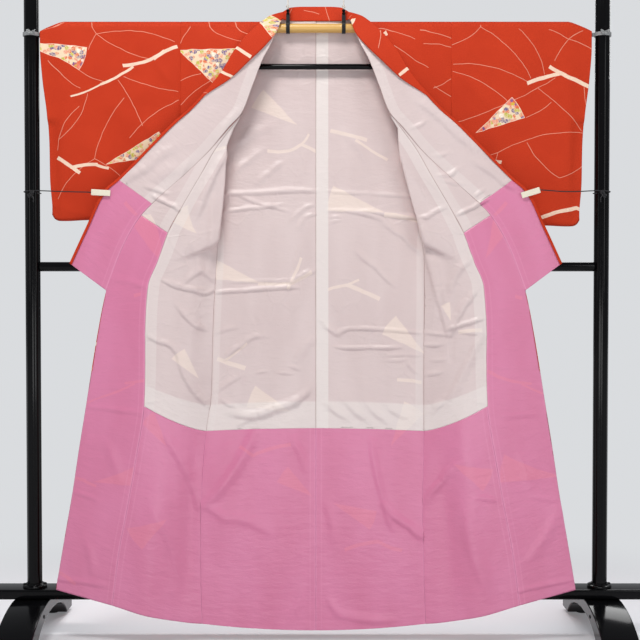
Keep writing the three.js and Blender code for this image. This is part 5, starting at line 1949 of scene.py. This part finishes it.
def make_upright(side, name):
    """A ribbed tube in a screwed socket."""
    x = side * UPRIGHT["out"]
    base = BOTTOM_BAR["high"] + GAP
    r, top = UPRIGHT["radius"], UPRIGHT["top"]
    profile = [(r - 0.5, base), (r, base + 0.6)]
    profile += [(r, z) for z in (400, 800, 1200)]
    profile += [(r, top - 5), (r - 1, top - 2.4), (r - 3.4, top - 0.7), (r - 7, top)]

    def flutes(angle):
        return 1 - UPRIGHT["flute"] * (0.5 - 0.5 * np.cos(UPRIGHT["flutes"] * (angle + 0.1))) ** 2

    made = turned_piece(f"stand_upright_{name}", profile, (x, 0, 0), sides=144, swell=flutes)
    finish_piece(made, LACQUER, [f"upright_{name}"])

    inner = r + GAP
    radius, rim, wall, height = SOCKET["radius"], SOCKET["rim"], SOCKET["wall"], SOCKET["height"]
    outline = [(inner, 0), (radius - 0.5, 0), (radius, 0.6), (radius, rim - 1.2), (radius - 0.4, rim - 0.4)]
    outline += [(radius - 1.2, rim), (inner + wall + 1, rim + 0.4), (inner + wall, rim + 1.4)]
    outline += [(inner + wall, height - 0.8), (inner + wall - 0.8, height), (inner, height)]
    made = ring_piece(f"upright_socket_{name}", outline, (x, 0, base))
    finish_piece(made, LACQUER, [f"socket_{name}"])
    for number in range(4):
        angle = math.radians(10 + 90 * number)
        out = SOCKET["screw_out"]
        place = (x + out * math.cos(angle), out * math.sin(angle), base + rim - 0.4)
        screw = SOCKET["screw"]
        head = [(screw, 0), (screw, 2), (screw - 1, 3.2), (1.6, 3.5), (1.4, 2.4)]
        made = turned_piece(f"socket_screw_{name}_{number}", head, place, sides=20)
        finish_piece(made, LACQUER, [])


def make_stand():
    half = UPRIGHT["out"] - UPRIGHT["radius"] - GAP
    for name, bar in (("top", TOP_BAR), ("middle", MIDDLE_BAR)):
        rod = rounded_rod(bar["radius"], half, 0.8)
        made = turned_piece(f"stand_{name}_bar", rod, (0, 0, bar["z"]), "x", 48)
        finish_piece(made, LACQUER, [f"{name}_bar"])
    low, high = BOTTOM_BAR["low"], BOTTOM_BAR["high"]
    size = (2 * BOTTOM_BAR["half"], BOTTOM_BAR["depth"], high - low)
    made = box_piece("stand_bottom_bar", size, (0, 0, (low + high) / 2), 5)
    finish_piece(made, LACQUER, ["bottom_bar"])
    for side, name in SIDES:
        make_upright(side, name)
        make_foot(side, name)


make_stand()
make_hanger()
for side, name in SIDES:
    make_holder(side, name, CLIP_TILTS[name])


# Stage and light
BACKGROUND = (0.70, 0.715, 0.735, 1)
FLOOR = {"reach": 12000, "fade": (0.7, 1.7)}  # millimetres from the middle, and where it fades, in metres


def stage():
    """A pale floor that fades into the background all round."""
    reach = FLOOR["reach"]
    points = [(x, y, 0) for y in (-reach, reach) for x in (-reach, reach)]
    made = mesh_piece("floor", np.array(points, float), np.array([(0, 1, 3, 2)]))
    shader = Shader("floor", Roughness=0.9, Specular_IOR_Level=0.1, Emission_Strength=0.2)
    place = shader.object_place()
    shade = shader.mix(shader.noise(place, 1.2, 2.0), (214, 214, 218), (208, 208, 212))
    for socket in ("Base Color", "Emission Color"):
        shader.set(shader.surface.inputs[socket], shade)
    apart = shader.node("VectorMath", shader.moved(place, 0, 0.3), operation="LENGTH").outputs["Value"]
    glow = shader.node("Emission", BACKGROUND, 1.0)
    share = shader.between(apart, *FLOOR["fade"])
    faded = shader.node("MixShader", share, shader.surface.outputs[0], glow.outputs[0])
    shader.set(shader.tree.nodes["Material Output"].inputs["Surface"], faded.outputs[0])
    made.data.materials.append(shader.material)


def light(name, place, aim, size, power, tint=(1, 1, 1), spread=180):
    data = bpy.data.lights.new(name, "AREA")
    data.shape, data.size, data.size_y = "RECTANGLE", size[0], size[1]
    data.energy, data.color = power, tint
    data.spread = math.radians(spread)
    made = bpy.data.objects.new(name, data)
    made.location = place
    made.rotation_euler = (Vector(aim) - Vector(place)).to_track_quat("-Z", "Y").to_euler()
    made.visible_camera = False
    bpy.context.scene.collection.objects.link(made)


def lights():
    world = bpy.data.worlds.new("studio")
    world.use_nodes = True
    tree = world.node_tree
    soft = tree.nodes["Background"]
    soft.inputs["Color"].default_value = (0.93, 0.95, 1.0, 1)
    soft.inputs["Strength"].default_value = 0.33
    seen = tree.nodes.new("ShaderNodeBackground")
    seen.inputs["Color"].default_value = BACKGROUND
    path = tree.nodes.new("ShaderNodeLightPath")
    either = tree.nodes.new("ShaderNodeMixShader")
    tree.links.new(path.outputs["Is Camera Ray"], either.inputs[0])
    tree.links.new(soft.outputs[0], either.inputs[1])
    tree.links.new(seen.outputs[0], either.inputs[2])
    tree.links.new(either.outputs[0], tree.nodes["World Output"].inputs["Surface"])
    bpy.context.scene.world = world
    light("key", (-0.6, -1.6, 3.4), (0, 0, 0.7), (1.0, 0.6), 57, (1, 0.985, 0.96))
    light("side", (-2.9, -1.5, 1.5), (0, 0, 0.8), (0.5, 1.4), 5)
    light("fill", (2.6, -2.4, 1.7), (0, 0, 0.8), (1.2, 1.8), 20)
    light("low", (0.3, -3.4, 0.5), (0, 0.4, 0.1), (2.2, 0.5), 17)
    light("behind", (0, 0.6, 1.3), (0, 0.2, 0), (1.6, 0.2), 3.5, spread=80)
    light("rear", (1.4, 2.6, 2.4), (0, 0, 0.8), (1.6, 1.2), 30)
    bpy.context.scene.view_settings.view_transform = "Standard"


stage()
lights()
